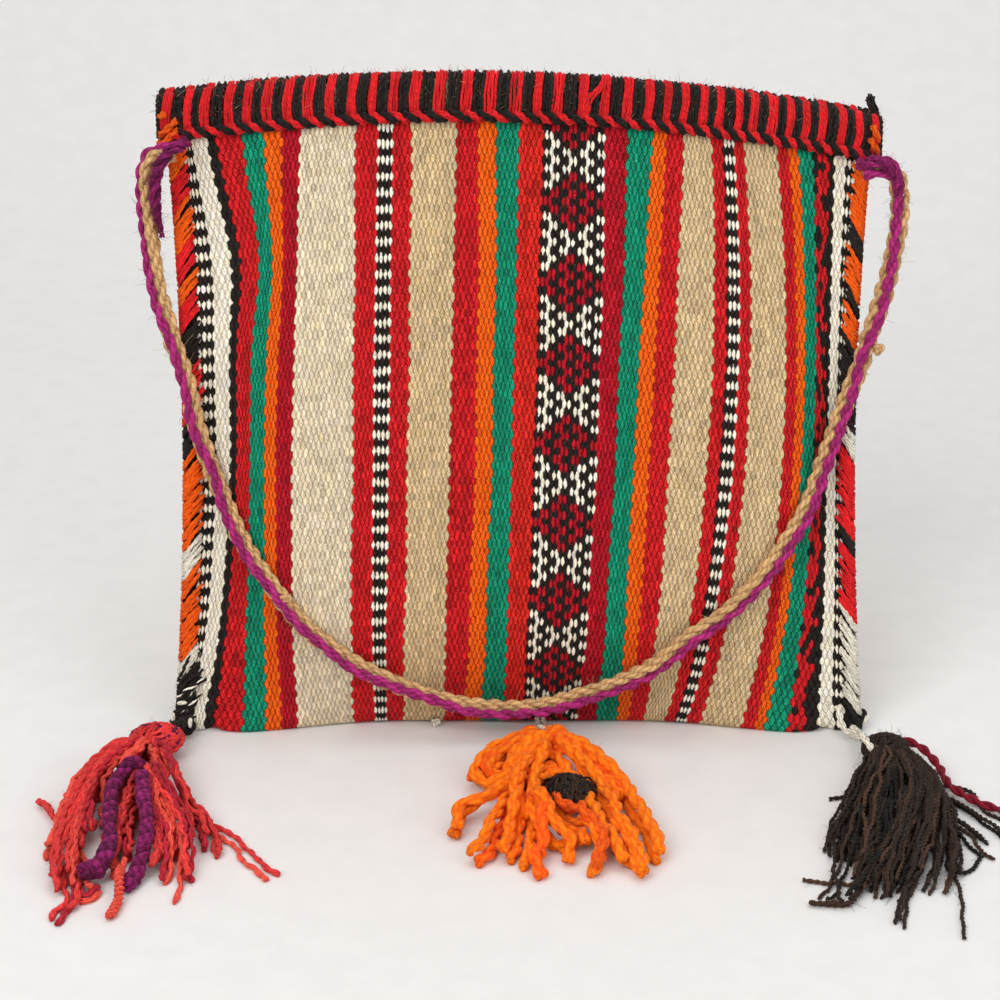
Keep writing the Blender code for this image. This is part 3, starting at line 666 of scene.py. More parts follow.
cloth = {
    "pick": 0.00355,  # from one weft thread to the next
    "relief": 0.00030, "rowsPerPick": 4, "hiddenPicks": 5, "basePicks": 13, "baseRows": 17, "phase": 0.3,
    "motifPicks": 10, "motifDots": 4, "bulge": (-0.81, 0.218, 0.11, 0.030, 0.034),
    # name, yarns, and where its left edge lies across the cloth at three heights
    "heights": (0.264, 0.167, 0.033),
    "stripes": (
        ("black", 5, -1.0, -1.0, -1.0), ("comb", 7, -0.966, -0.964, -0.973),
        ("white", 7, -0.936, -0.912, -0.940),
        ("black", 3, -0.887, -0.862, -0.901), ("red", 8, -0.861, -0.843, -0.880),
        ("green", 8, -0.788, -0.800, -0.813),
        ("orange", 6, -0.728, -0.755, -0.753), ("crimson", 7, -0.676, -0.718, -0.711),
        ("paleBeige", 24, -0.627, -0.670, -0.666),
        ("red", 9, -0.465, -0.488, -0.493), ("ladder", 7, -0.402, -0.429, -0.431),
        ("red", 7, -0.360, -0.382, -0.393),
        ("beige", 18, -0.308, -0.326, -0.340), ("red", 9, -0.178, -0.199, -0.218),
        ("orange", 7, -0.115, -0.125, -0.153),
        ("green", 9, -0.064, -0.075, -0.103), ("orangeRed", 9, -0.001, -0.016, -0.038),
        ("motif", 28, 0.067, 0.052, 0.021),
        ("crimson", 8, 0.243, 0.238, 0.190), ("green", 9, 0.308, 0.294, 0.245),
        ("orange", 6, 0.377, 0.351, 0.305),
        ("red", 7, 0.416, 0.398, 0.345), ("beige", 14, 0.465, 0.454, 0.395),
        ("red", 5, 0.550, 0.570, 0.477),
        ("ladder", 6, 0.582, 0.609, 0.510), ("red", 5, 0.616, 0.648, 0.545),
        ("beige", 15, 0.645, 0.681, 0.584),
        ("red", 5, 0.742, 0.793, 0.706), ("orange", 4, 0.774, 0.824, 0.742),
        ("green", 6, 0.803, 0.852, 0.770),
        ("mottled", 6, 0.844, 0.886, 0.827), ("black", 2, 0.890, 0.918, 0.879),
        ("white", 5, 0.905, 0.927, 0.900),
        ("comb", 4, 0.940, 0.955, 0.940), ("black", 4, 0.965, 0.972, 0.962),
    ),
    "grainSpread": 0.13, "yarnSpread": 0.06, "slowSpread": 0.02, "slowPicks": 15, "paleFrom": 0.35,
    "paleSpread": 0.62,
    "sway": 0.0022, "dent": 0.0006, "thicknessSpread": 0.25, "bias": 0.34,
}
yarnCount = sum(stripe[1] for stripe in cloth["stripes"])


def yarnShares(z):
    # where each yarn lies at a height: even between its stripe's edges, a parabola through the three heights
    counts = np.array([stripe[1] for stripe in cloth["stripes"]])
    edges = np.r_[0, np.cumsum(counts)] * (yarnCount - 1) / yarnCount
    a, b, c = cloth["heights"]
    weights = [
        (z - b) * (z - c) / ((a - b) * (a - c)), (z - a) * (z - c) / ((b - a) * (b - c)),
        (z - a) * (z - b) / ((c - a) * (c - b)),
    ]
    table = np.array([stripe[2:] for stripe in cloth["stripes"]] + [(1.0, 1.0, 1.0)])
    places = sum(weight[..., None] * table[:, level] for level, weight in enumerate(weights))
    at, height, wide, tall, shift = cloth["bulge"]  # the stripes are pushed aside there, in a bell
    bell = np.exp(-(((places - at) / wide) ** 2) - (((z[..., None] - height) / tall) ** 2))
    places = places + shift * bell
    index = np.arange(yarnCount)
    home = np.clip(np.searchsorted(edges, index, side="right") - 1, 0, len(counts) - 1)
    part = (index - edges[home]) / (edges[home + 1] - edges[home])
    return places[..., home] + (places[..., home + 1] - places[..., home]) * part


def grainTable(rng, picks):
    # the colour of each yarn at each pick, (yarns, picks, 3)
    table = np.zeros((yarnCount, picks, 3))
    first = 0
    pick = np.arange(picks)
    for name, count, *_ in cloth["stripes"]:
        for k in range(count):
            yarn = first + k
            if name in ("ladder", "comb"):  # white yarns lie between black ones
                table[yarn] = colours["white" if yarn % 2 == 0 else "black"]
            elif name == "motif":  # white crosses and red diamonds of staggered dots
                dot = k // cloth["motifDots"] - 3
                row = (pick + cloth["motifPicks"] // 2) % cloth["motifPicks"] - cloth["motifPicks"] // 2
                light = (row + dot) % 2 == 0
                tone = np.where((abs(dot) >= np.abs(row))[:, None], colours["white"], colours["crimson"])
                table[yarn] = np.where(light[:, None], tone, colours["black"])
            elif name == "mottled":
                dark = rng.random(picks) < 0.2 + 0.5 * (k / count) ** 2
                table[yarn] = np.where(dark[:, None], colours["black"], colours["red"])
            else:
                table[yarn] = colours[name]
        first += count
    slow = np.cumsum(rng.standard_normal((yarnCount, picks)), axis=1)
    window = np.ones(cloth["slowPicks"]) / cloth["slowPicks"]
    slow -= np.array([np.convolve(line, window, "same") for line in slow])
    tone = 1 + cloth["yarnSpread"] * rng.standard_normal((yarnCount, 1)) + cloth["slowSpread"] * slow
    tone = tone + cloth["grainSpread"] * rng.standard_normal((yarnCount, picks))
    pale = table.mean(axis=2, keepdims=True) > cloth["paleFrom"]
    yellower = np.array([0.2, 0.0, -1.0])
    warm = 1 + np.where(pale, 0.04, 0.015) * rng.standard_normal((yarnCount, picks, 1)) * yellower
    spread = np.where(pale[..., 0], cloth["paleSpread"], 1.0)
    return np.clip(table * (1 + (tone - 1) * spread)[..., None] * warm, 0.003, 0.95)


def clothMaterial():
    # two attributes give the colours of the even and the odd yarn; the place says which one is on top
    look = Nodes("wovenWool", 0.92)
    uv = look.add("SeparateXYZ")
    look.put(look.uvPlace(), uv.inputs[0])
    across, down = uv.outputs[0], uv.outputs[1]
    place = look.objectPlace()
    even, odd = look.attribute("evenYarn").outputs, look.attribute("oddYarn").outputs
    stray = look.times(look.minus(look.noise(place, 650.0, 2.0), 0.5), 0.95)
    off = look.math("PINGPONG", look.plus(across, stray), 1.0)
    wander = look.noise(place, 420.0, 2.0)
    sway = look.times(look.minus(wander, 0.5), 0.9)
    wave = look.math("COSINE", look.times(look.plus(down, sway), pi))
    lead = look.minus(wave, look.times(look.minus(look.times(off, 2.0), 1.0), 0.8))  # above 0: the even yarn
    grey = [look.add("RGBToBW") for _ in range(2)]
    for node, output in zip(grey, (even, odd)):  # a pale yarn shows less beside a dark one
        look.put(output["Color"], node.inputs[0])
    paler = look.minus(grey[0].outputs[0], grey[1].outputs[0])
    lead = look.minus(lead, look.times(paler, cloth["bias"]))
    top = look.plus(look.times(lead, 5.0), 0.5, clamp=True)
    colour = look.mix(top, odd["Color"], even["Color"])
    # painted shade: each grain is painted as a lit dome, lighter in the middle of its yarn, 1 - 0.9 side^2 across it
    side = look.math("ABSOLUTE", look.minus(top, off))
    side = look.minus(1.0, side)
    dome = look.minus(1.0, look.times(look.times(side, side), 0.9))
    # painted shade: darker in the creases where the even and the odd yarn meet
    crease = look.span(look.math("ABSOLUTE", lead), 0.0, 0.42)
    crease.node.interpolation_type = "SMOOTHSTEP"
    body = look.times(dome, look.plus(look.times(crease, 0.75), 0.25))
    # the two plies of each yarn wind round each other: |sin| of a slanting run, with painted shade where they meet
    twist = look.plus(look.times(down, 1.9), look.times(across, -1.0))
    twist = look.plus(twist, look.times(wander, 2.4))
    ply = look.math("ABSOLUTE", look.math("SINE", look.times(twist, pi)))
    # fine noise for the hairy surface: it paints dark specks of painted shade, and glint below turns its peaks into
    # painted sheen
    hairs = look.noise(place, 1500.0, 3.0, 0.72)
    fine = look.plus(look.times(ply, 0.48), look.times(look.span(hairs, 0.30, 0.72), 0.62))
    # painted light: bright mixes a shaded copy of the colour, shadow, which is lighter for pale yarns, with a lit copy,
    # shine
    bright = look.times(look.plus(look.times(body, 0.80), 0.20), look.plus(fine, 0.10))
    bright = look.span(bright, 0.06, 0.92)
    pale = look.add("RGBToBW")
    look.put(colour, pale.inputs[0])
    pale = look.span(pale.outputs[0], 0.25, 0.75)
    deep = look.mix(pale, (0.16, 0.10, 0.09), (0.46, 0.42, 0.36))
    shadow = look.tinted(colour, deep)
    shine = look.mix(0.006, look.tinted(colour, (1.40, 1.36, 1.32)), (1, 1, 1))
    colour = look.mix(bright, shadow, shine)
    # painted glints: specks of a lit copy with a little white, on the tops of the grains
    glint = look.span(look.times(hairs, look.plus(look.times(body, 0.4), 0.6)), 0.56, 0.72)
    lit = look.mix(0.10, look.tinted(colour, (1.7, 1.7, 1.7)), (1, 1, 1))
    colour = look.mix(look.times(glint, 0.7), colour, lit)
    look.put(colour, look.shader.inputs["Base Color"])
    height = look.plus(look.times(body, 0.8), look.times(fine, 0.6))
    look.bump(height, 0.00045, 1.0)
    look.sheen(0.02, (1.0, 0.96, 0.93), 0.6)
    look.shader.inputs["Specular IOR Level"].default_value = 0.08
    return look.material


def clothRows(side):  # where the rows lie: sparse under the rim and the base, four to a pick between
    fine = np.linspace(0, 1, 4001)
    middle = clothPoint(np.zeros(4001), fine, side)
    arc = np.r_[0, np.cumsum(np.linalg.norm(np.diff(middle, axis=0), axis=1))] / cloth["pick"]
    hidden, base = cloth["hiddenPicks"], cloth["basePicks"]
    lastFine = math.floor(arc[-1]) - base
    wanted = np.concatenate([
        np.arange(hidden), np.arange(hidden, lastFine, 1 / cloth["rowsPerPick"]),
        np.linspace(lastFine, arc[-1], cloth["baseRows"]),
    ])
    while len(wanted) % 4 != 1:
        wanted = np.insert(wanted, -1, (wanted[-1] + wanted[-2]) / 2)
    return np.interp(wanted, arc, fine)


def clothGrid(side):
    # each yarn's line down the cloth and, for every point, how many picks it lies from the top
    rows = clothRows(side)
    guess = clothPoint(np.zeros_like(rows), rows, side)[:, 2]
    z = guess if side < 0 else guess * 0.6 + 0.05
    u = yarnShares(z)
    sway = cloth["sway"] * np.sin(rows * 31 + 2.0)[:, None] * np.sin(np.arange(yarnCount) * 0.11)[None]
    u = u + sway * (1 - u * u)
    points = clothPoint(u, np.broadcast_to(rows[:, None], u.shape), side)
    steps = np.linalg.norm(np.diff(points, axis=0), axis=2)
    run = np.concatenate([np.zeros((1, yarnCount)), np.cumsum(steps, axis=0)])
    picks = run / cloth["pick"] + cloth["phase"]
    normal = unit(np.cross(np.gradient(points, axis=1), np.gradient(points, axis=0))) * side
    return rows, u, points, picks, normal


def zipLoops(outer, inner):  # triangles between a loop and one with a quarter as many points
    j = np.arange(len(inner))
    after = np.roll(inner, -1)
    nearest = np.stack([inner, inner, after, after], axis=1).ravel()
    fine = np.stack([outer, np.roll(outer, -1), nearest], axis=1)
    return np.concatenate([fine, np.stack([after, inner, outer[4 * j + 2]], axis=1)])


def rimOf(index):  # the indices round the edge of a grid
    return np.concatenate([index[0, :-1], index[:-1, -1], index[-1, :0:-1], index[:0:-1, 0]])


def makeCloth(name, side, node):
    rng = np.random.default_rng(5 if side < 0 else 6)
    rows, u, points, picks, normal = clothGrid(side)
    yarn = np.arange(yarnCount)
    fade = smoothStep((picks - cloth["hiddenPicks"]) / 2) * smoothStep((points[..., 2] - 0.0004) / 0.004)
    thick = 1 + cloth["thicknessSpread"] * rng.standard_normal(yarnCount)
    wave = np.cos(pi * (picks + yarn % 2))
    down = rows[:, None]
    dents = cloth["dent"] * np.sin(u * 23 + down * 9) * np.sin(down * 27 + u * 7) * (1 - u**2)
    lift = cloth["relief"] * (wave * thick - 0.4) * fade + dents * fade
    outer = points + normal * lift[..., None]
    outer[..., 2] = np.maximum(outer[..., 2], 0)
    inside = (points - normal * bag["clothThickness"])[::4, ::4]
    fineIndex = np.arange(outer[..., 0].size).reshape(u.shape)
    coarseIndex = fineIndex.size + np.arange(inside[..., 0].size).reshape(inside.shape[:2])
    quads = []
    for index, flip in ((fineIndex, side < 0), (coarseIndex, side > 0)):
        corners = [index[:-1, :-1], index[:-1, 1:], index[1:, 1:], index[1:, :-1]]
        quads.append(np.stack(corners[::-1] if flip else corners, axis=-1).reshape(-1, 4))
    seam = zipLoops(rimOf(fineIndex), rimOf(coarseIndex))
    if side > 0:
        seam = seam[:, ::-1]
    uv = np.stack([np.broadcast_to(yarn, u.shape), picks], axis=-1)
    uv = np.concatenate([uv.reshape(-1, 2), uv[::4, ::4].reshape(-1, 2)])
    table = grainTable(rng, int(picks.max()) + 4)
    faces = [np.concatenate(quads), seam]
    # each face lies between an even and an odd yarn and takes both colours at the picks nearest to it
    middles = np.concatenate([uv[part].mean(axis=1) for part in faces])[:, 1]
    left = np.concatenate([uv[part][:, :, 0].min(axis=1) for part in faces])
    left = np.minimum(left, yarnCount - 2).astype(int)
    last = table.shape[1] - 1
    evenPick = np.clip(2 * np.round(middles / 2), 0, last).astype(int)
    oddPick = np.clip(2 * np.floor(middles / 2) + 1, 0, last).astype(int)
    tints = {
        "evenYarn": table[np.clip(left + left % 2, 0, yarnCount - 1), evenPick],
        "oddYarn": table[np.clip(left + 1 - left % 2, 0, yarnCount - 1), oddPick],
    }
    allPoints = np.concatenate([outer.reshape(-1, 3), inside.reshape(-1, 3)])
    item = meshPiece(name, allPoints, faces, uv, faceTints=tints)
    item.data.materials.append(clothLook)
    seat(item, "bag", [node])


clothLook = clothMaterial()
makeCloth("front_woven_cloth", -1, "front_cloth")
makeCloth("back_woven_cloth", 1, "back_cloth")
print("stage: woven cloth,", yarnCount, "yarns")

# Rims: each wrap is a bundle of strands that goes over the edge of the mouth

rim = {
    # the red wraps' places across the bag, by number, as shares of its half width
    "wraps": 36, "numberAt": (0, 11, 16, 22, 35), "wrapShares": (-0.968, -0.345, -0.016, 0.355, 0.975),
    "centreOut": 0.0030, "low": 0.0174, "tuck": 0.40, "tuckDepth": 0.0024, "steps": 20,
    "redStrands": 4, "redShare": 0.45, "redRadius": 0.00066, "blackShare": 0.31, "blackRadius": 0.00066,
    "blackOffset": 0.00052, "blackPitch": 0.0056, "jitter": 0.00050, "widthSpread": 0.15,
    "wobble": 0.00022, "footRun": 0.62, "redSpread": 0.00010, "redCrown": 0.0018, "redLift": 0.0004,
    "blackDip": -0.0007, "redUneven": 0.00012, "blackUneven": 0.00015, "bridgeGap": 0.0012,
    "bridgeLift": 0.0007,
    # lean: how far the top stands to the right of the foot; bow: how far the middle stands out
    "leanAt": (-1.0, 0.0, 1.0), "lean": (0.0012, 0.0016, 0.0020), "bow": (-0.0016, 0.0, 0.0014),
    "bridge": (19, 20),
    "twistOffset": 0.00150, "redTwist": (0.00062, 0.00100), "blackTwist": (0.00068, 0.00105),
    "twistPlyPitch": 0.009,
    "twistInset": 0.0040, "twistSteps": 420, "redFibres": 1100, "blackFibres": 2000, "fibreLength": 0.0038,
}


def rimSection(x, out, drop, side):
    # a place in the section of the rim at x: out from the middle of the cloth, drop from the top
    u = x / clothHalfWidth(rimTop(x / bag["halfWidth"], side) - drop)
    z = rimTop(u, side) - drop
    middle = wallY(u, z, side) - side * bag["clothThickness"] / 2
    return np.stack([x, middle + out, z], axis=-1)


def rimWraps(places, radius, lift, side, rng, foot=0.0):
    # up the outside, half a circle over the top and down the inside; one path for each place
    reach, low = rim["centreOut"], rim["low"]
    straight = low - reach - radius
    run = np.linspace(0, 2 * straight + pi * reach, rim["steps"])[None]
    turn = np.clip((run - straight) / reach, 0, pi)
    drop = np.where(run < straight, low - run, reach + radius - reach * np.sin(turn))
    drop = np.where(run > straight + pi * reach, run - straight - pi * reach + reach + radius, drop)
    part = np.clip(drop / low, 0, 1)
    across = places / bag["halfWidth"]
    lean = np.interp(across, rim["leanAt"], rim["lean"])[:, None]
    bow = np.interp(across, rim["leanAt"], rim["bow"])[:, None]
    x = places[:, None] + lean * (0.5 - part) + bow * np.sin(pi * part)
    x = x + foot * smoothStep(part / rim["footRun"])
    x = x + rim["wobble"] * np.sin(run * 420 + 6.3 * rng.random((len(places), 1)))
    x = np.clip(x, -bag["halfWidth"] + radius, bag["halfWidth"] - radius)
    squeeze = 1 - rim["tuck"] * smoothStep((drop - low + rim["tuckDepth"]) / rim["tuckDepth"])
    out = side * np.cos(turn) * (reach * squeeze + lift[:, None])
    drop = drop - np.sin(turn) * lift[:, None]
    return rimSection(x, out, np.broadcast_to(drop, x.shape), side)


def makeRims(word, side):
    rng = np.random.default_rng(21 if side < 0 else 22)
    number = np.arange(-1, rim["wraps"] + 1)
    home = np.interp(number, rim["numberAt"], rim["wrapShares"]) * bag["halfWidth"]
    home[0], home[-1] = 2 * home[1] - home[2], 2 * home[-2] - home[-3]
    home[1:-1] += rim["jitter"] * rng.standard_normal(rim["wraps"])
    redAt = home[1:-1]
    blackAt = (home[:-1] + home[1:]) / 2
    pitch = np.diff(home)
    redPitch = (pitch[:-1] + pitch[1:]) / 2
    strands = rim["redStrands"]
    comb = (np.arange(strands) + 0.5) / strands - 0.5
    uneven = np.clip(rng.standard_normal((len(redAt), 1)), -1.5, 1.6)
    wide = rim["redShare"] * (1 + rim["widthSpread"] * uneven)
    redPlaces = (redAt[:, None] + comb * redPitch[:, None] * wide).ravel()
    redPlaces = redPlaces + rim["redSpread"] * rng.standard_normal(len(redPlaces))
    redLift = np.tile(rim["redLift"] - rim["redCrown"] * comb**2, len(redAt))
    redLift = redLift + rim["redUneven"] * rng.standard_normal(len(redPlaces))
    middle = np.array([0.0, -0.5, 0.5])
    plies = (blackAt[:, None] + middle * pitch[:, None] * rim["blackShare"]).ravel()
    blackLift = np.tile([rim["blackDip"], 0.0, 0.0], len(blackAt))
    blackLift = blackLift + rim["blackUneven"] * rng.standard_normal(len(plies))
    red = rimWraps(redPlaces, rim["redRadius"], redLift, side, rng)
    black = rimWraps(plies, rim["blackRadius"], blackLift, side, rng)
    redTint = shades(rng, colours["wrapRed"], len(red), 0.14)
    groups = [(red, rim["redRadius"], 7, redTint)]
    if side < 0:  # one wrap runs down to its neighbour and bridges the black between them
        low, high = rim["bridge"]
        bridge = redAt[high] + np.array([-1, 0, 1]) * rim["bridgeGap"]
        reach = (redAt[low] - redAt[high]) * 0.8
        bridge = rimWraps(bridge, rim["redRadius"], np.full(3, rim["bridgeLift"]), side, rng, foot=reach)
        groups.append((bridge, rim["redRadius"], 7, shades(rng, colours["wrapRed"], 3)))
    yarnPiece(f"{word}_rim_red_wraps", groups, "yarn", "bag", "red_wool", f"{word}_rim_stitching")
    twisted = helices(black, 2, rim["blackOffset"], rim["blackPitch"], rng.uniform(0, 6, len(black)))
    groups = [(twisted, rim["blackRadius"], 6, shades(rng, colours["black"], len(twisted), 0.25))]
    yarnPiece(f"{word}_rim_black_wraps", groups, "hairy", "bag", "black_wool")
    makeTwinedCord(word, side, home, number)
    hairs = (("red", red, ("wrapRed", "red")), ("black", black, ("black", "umber", "beige")))
    for colour, strands, names in hairs:
        places = pickFrom(rng, strands[:, 1:-4].reshape(-1, 3), rim[colour + "Fibres"])
        tints = mixedTints(rng, names, len(places))
        fuzzPiece(f"{word}_rim_{colour}_fuzz", places, rim["fibreLength"], tints, "bag", colour + "_wool", rng)


def makeTwinedCord(word, side, home, number):
    # a red and a black ply that wind round each other under the wraps, once for each wrap
    half = bag["halfWidth"] - rim["twistInset"]
    x = np.linspace(-half, half, rim["twistSteps"])
    z = rimTop(x / bag["halfWidth"], side) - bag["rimDepth"] - bag["ribHeight"]
    z = z - bag["clearance"] - bag["twistRadius"]
    u = x / clothHalfWidth(z)
    stand = (bag["twistRadius"] + bag["clearance"]) / math.cos(bag["lean"])
    centre = np.stack([x, wallY(u, z, side) + side * stand, z], axis=-1)
    normals, across = carriedFrames(centre[None], first=(0, side, 0))
    turn = 2 * pi * (np.interp(x, home, number) - 0.32)
    parts = []
    rng = np.random.default_rng(31)
    for start, colour in ((0, "red"), (pi, "black")):
        offset, radius = rim[colour + "Twist"]
        angle = (turn + start)[:, None]
        ply = centre + rim["twistOffset"] * (normals[0] * np.cos(angle) + across[0] * np.sin(angle))
        strands = helices(ply[None], 2, offset, rim["twistPlyPitch"], start)
        tint = colours["wrapRed" if colour == "red" else "black"]
        parts.append((strands, radius, 6, shades(rng, tint, 2, 0.08)))
    yarnPiece(f"{word}_twined_cord", parts, "yarn", "bag", "black_wool", f"{word}_rim_twist")


endWrap = {
    "x": 0.1573, "halfDepth": 0.0104, "steps": 26, "plyOffset": 0.00075, "plyRadius": 0.00098,
    "tuftHeight": 0.0085,
    # level at the edge, how far in, how far up on the way in
    "left": ((0.2618, 0.0090, 0.0075), (0.2662, 0.0085, 0.0070), (0.2738, 0.0030, 0.0020)),
    "right": ((0.2520, 0.0080, 0.0030), (0.2572, 0.0046, 0.0080), (0.2620, 0.0036, 0.0085)),
}


def makeEndWraps(word, side):
    # orange stitches that bind the ends of both rims together at the corner
    e = endWrap
    turn = np.linspace(-1, 1, e["steps"])
    paths = []
    for level, reach, rise in e[word]:
        bend = pi / 2 * np.clip(np.abs(turn) / 0.45, 0, 1)
        straight = np.clip((np.abs(turn) - 0.45) / 0.55, 0, 1)
        inward = 0.0028 * (1 - np.cos(bend)) + (reach - 0.0028) * straight
        z = level + rise * inward / reach
        y = seamY(z) + np.sign(turn) * (np.sin(bend) * e["halfDepth"] - 0.0022 * smoothStep((straight - 0.7) / 0.3))
        paths.append(np.stack([side * (e["x"] + 0.0008 - inward), y, z], axis=-1))
    rng = np.random.default_rng(41 + side)
    plies = helices(np.array(paths), 2, e["plyOffset"], 0.010)
    groups = [(plies, e["plyRadius"], 7, shades(rng, colours["wrapOrange"], 6, 0.06))]
    yarnPiece(f"{word}_corner_turns", groups, "yarn", "bag", "orange_wool", f"{word}_corner_wrap")


def makeCornerTuft():
    rng = np.random.default_rng(44)
    count, steps = 11, 8
    s = np.linspace(0, 1, steps)[None, :, None]
    base = np.array([endWrap["x"] - 0.001, float(seamY(rimTop(np.float64(1), -1))), float(rimTop(np.float64(1), -1)) - 0.004])
    start = base + rng.uniform(-1, 1, (count, 3)) * (0.0010, 0.0014, 0.0005)
    lean = rng.uniform(-1, 1, (count, 3)) * (0.0011, 0.0010, 0.0) + (-0.0030, 0, 0)
    rise = (0.6 + 0.5 * rng.random((count, 1, 1))) * (endWrap["tuftHeight"] + 0.004)
    curl = 0.0006 * np.sin(s * 9 + rng.random((count, 1, 1)) * 6) * np.array([1, 0.6, 0])
    paths = start[:, None] + lean[:, None] * s**1.5 + rise * s * np.array([0, 0, 1]) + curl
    tints = shades(rng, colours["black"], count, 0.3)
    groups = [(paths, 0.00075 * (1 - 0.35 * s[0, :, 0])[None], 5, tints)]
    yarnPiece("corner_tuft_yarns", groups, "hairy", "bag", "black_wool", "corner_tuft")


# Side stitching: one piece for each run of one colour

lacing = {
    "spacing": 0.0046, "strands": 3, "strandGap": 0.00128, "plyOffset": 0.00034, "plyRadius": 0.00058,
    "pitch": 0.0075,
    "steps": 19, "edgeRound": 0.0022, "arcShare": 0.30, "reach": 0.0084, "reachSpread": 0.09,
    "rise": 0.0122,
    "tones": {"red": "wrapRed", "orange": "wrapOrange"}, "gather": 0.62, "rightReach": 0.84,
    "fibresPerStitch": 8,
    "fibreLength": 0.0030, "riseSpread": 0.07, "waver": 0.0003, "lowest": 0.0011, "inset": 0.0007,
    "tuck": 0.0016,
    "left": (
        ("orange", 0.054), ("red", 0.107), ("orange", 0.173), ("red", 0.223), ("orange", 0.263),
        ("red", 0.309),
        ("black", 0.380), ("red", 0.463), ("black", 0.523), ("orange", 0.679), ("white", 0.732),
        ("orange", 0.875),
        ("white", 0.905), ("black", 1.0),
    ),
    "right": (
        ("orange", 0.124), ("black", 0.157), ("orange", 0.234), ("black", 0.256), ("orange", 0.316),
        ("black", 0.460),
        ("white", 0.507), ("red", 0.650), ("black", 0.680), ("red", 0.803), ("white", 0.973),
        ("black", 1.0),
    ),
}


def stitchPaths(levels, beside, side, rng, wild):
    # from the front of the seam round the edge to its back, climbing fast at the edge and slower on the way in
    count = len(levels)
    t = np.linspace(-1, 1, lacing["steps"])[None]
    p = np.abs(t)
    reach = lacing["reach"] * (lacing["rightReach"] if side > 0 else 1)
    reach = reach * (1 + wild * lacing["reachSpread"] * rng.standard_normal((count, 1)))
    turn = pi / 2 * np.clip(p / lacing["arcShare"], 0, 1)
    straight = np.clip((p - lacing["arcShare"]) / (1 - lacing["arcShare"]), 0, 1)
    inward = lacing["edgeRound"] * (1 - np.cos(turn)) + (reach - lacing["edgeRound"]) * straight**1.25
    rise = lacing["rise"] * (1 + lacing["riseSpread"] * wild * rng.standard_normal((count, 1)))
    z = levels[:, None] + beside[:, None] * (1 - lacing["gather"] * p**1.5) + rise * p**0.92
    waver = lacing["waver"] * wild
    z = np.maximum(z + waver * np.sin(6 * t + 6.3 * rng.random((count, 1))), lacing["lowest"])
    depth = layerGap(side, z) + bag["clothThickness"] + bag["lacingPlay"] + bag["lacingWall"] - lacing["inset"]
    depth = depth - lacing["tuck"] * smoothStep((straight - 0.75) / 0.25)
    depth = depth + waver * rng.standard_normal((count, 1))
    y = seamY(z) + np.sign(t) * np.sin(turn) * depth
    x = side * (halfWidth(z) - lacing["inset"] - inward)
    return np.stack([x, y, z], axis=-1)


def makeLacing(word, side):
    end = rimTop(side, -1) - bag["rimDepth"] - bag["ribHeight"] - bag["lacingHeadGap"] - bag["lacingRise"]
    low = bag["lacingFoot"]
    rng = np.random.default_rng(51 + side)
    start, anchors, hairTints = 0.0, [], []
    for number, (colour, share) in enumerate(lacing[word], start=1):
        top = end + (low - end) * start
        bottom = end + (low - end) * share
        knotty = word == "left" and number == len(lacing[word])
        count = max(round((top - bottom) / (lacing["spacing"] * (0.45 if knotty else 1))), 1)
        levels = top - (top - bottom) * (np.arange(count) + 0.5) / count - 0.0026
        levels = np.repeat(levels + 0.0004 * rng.standard_normal(count), lacing["strands"])
        beside = np.tile(np.arange(lacing["strands"]) - 1, count) * lacing["strandGap"]
        paths = stitchPaths(levels, beside, side, rng, 2.6 if knotty else 1.0)
        # the red and orange stitches take the wrap colours, lighter than the cloth's, and the bright look, with less
        # painted shade: partly their own colour, partly painted light on these sideways-facing stitches
        tints = shades(rng, colours[lacing["tones"].get(colour, colour)], 2 * len(paths), 0.10)
        if knotty:  # bits of white between the black
            tints[3::11] = colours["white"]
        taper = 1 - 0.25 * np.abs(np.linspace(-1, 1, lacing["steps"])) ** 6
        plies = helices(paths, 2, lacing["plyOffset"], lacing["pitch"], rng.random(len(paths)) * 6)
        swell = 1 + 0.08 * rng.standard_normal((len(plies), 1))
        name = f"{number:02d}_{colour}"
        look = "hairy" if colour == "black" else "bright"
        slot = "white_cotton" if colour == "white" else colour + "_wool"
        groups = [(plies, lacing["plyRadius"] * taper * swell, 6, tints)]
        yarnPiece(f"{word}_stitches_{name}", groups, look, "bag", slot, f"{word}_lacing_{name}")
        amount = lacing["fibresPerStitch"] * count * (5 if knotty else 2 if colour == "black" else 1)
        anchors.append(pickFrom(rng, paths.reshape(-1, 3), amount))
        hairTints.append(mixedTints(rng, (colour, "umber" if colour == "black" else colour), amount))
        start = share
    anchors, hairTints = np.concatenate(anchors), np.concatenate(hairTints)
    fuzzPiece(f"{word}_stitch_fuzz", anchors, lacing["fibreLength"], hairTints, "bag", "black_wool", rng)


# Lashings and knots

def trefoil(place, size, steps=60):  # a small overhand knot, as the trefoil curve
    a = np.linspace(0, 2 * pi, steps)
    curve = np.stack([np.sin(a) + 2 * np.sin(2 * a), -np.sin(3 * a), np.cos(a) - 2 * np.cos(2 * a)], axis=-1) / 3
    return np.asarray(place) + size * curve


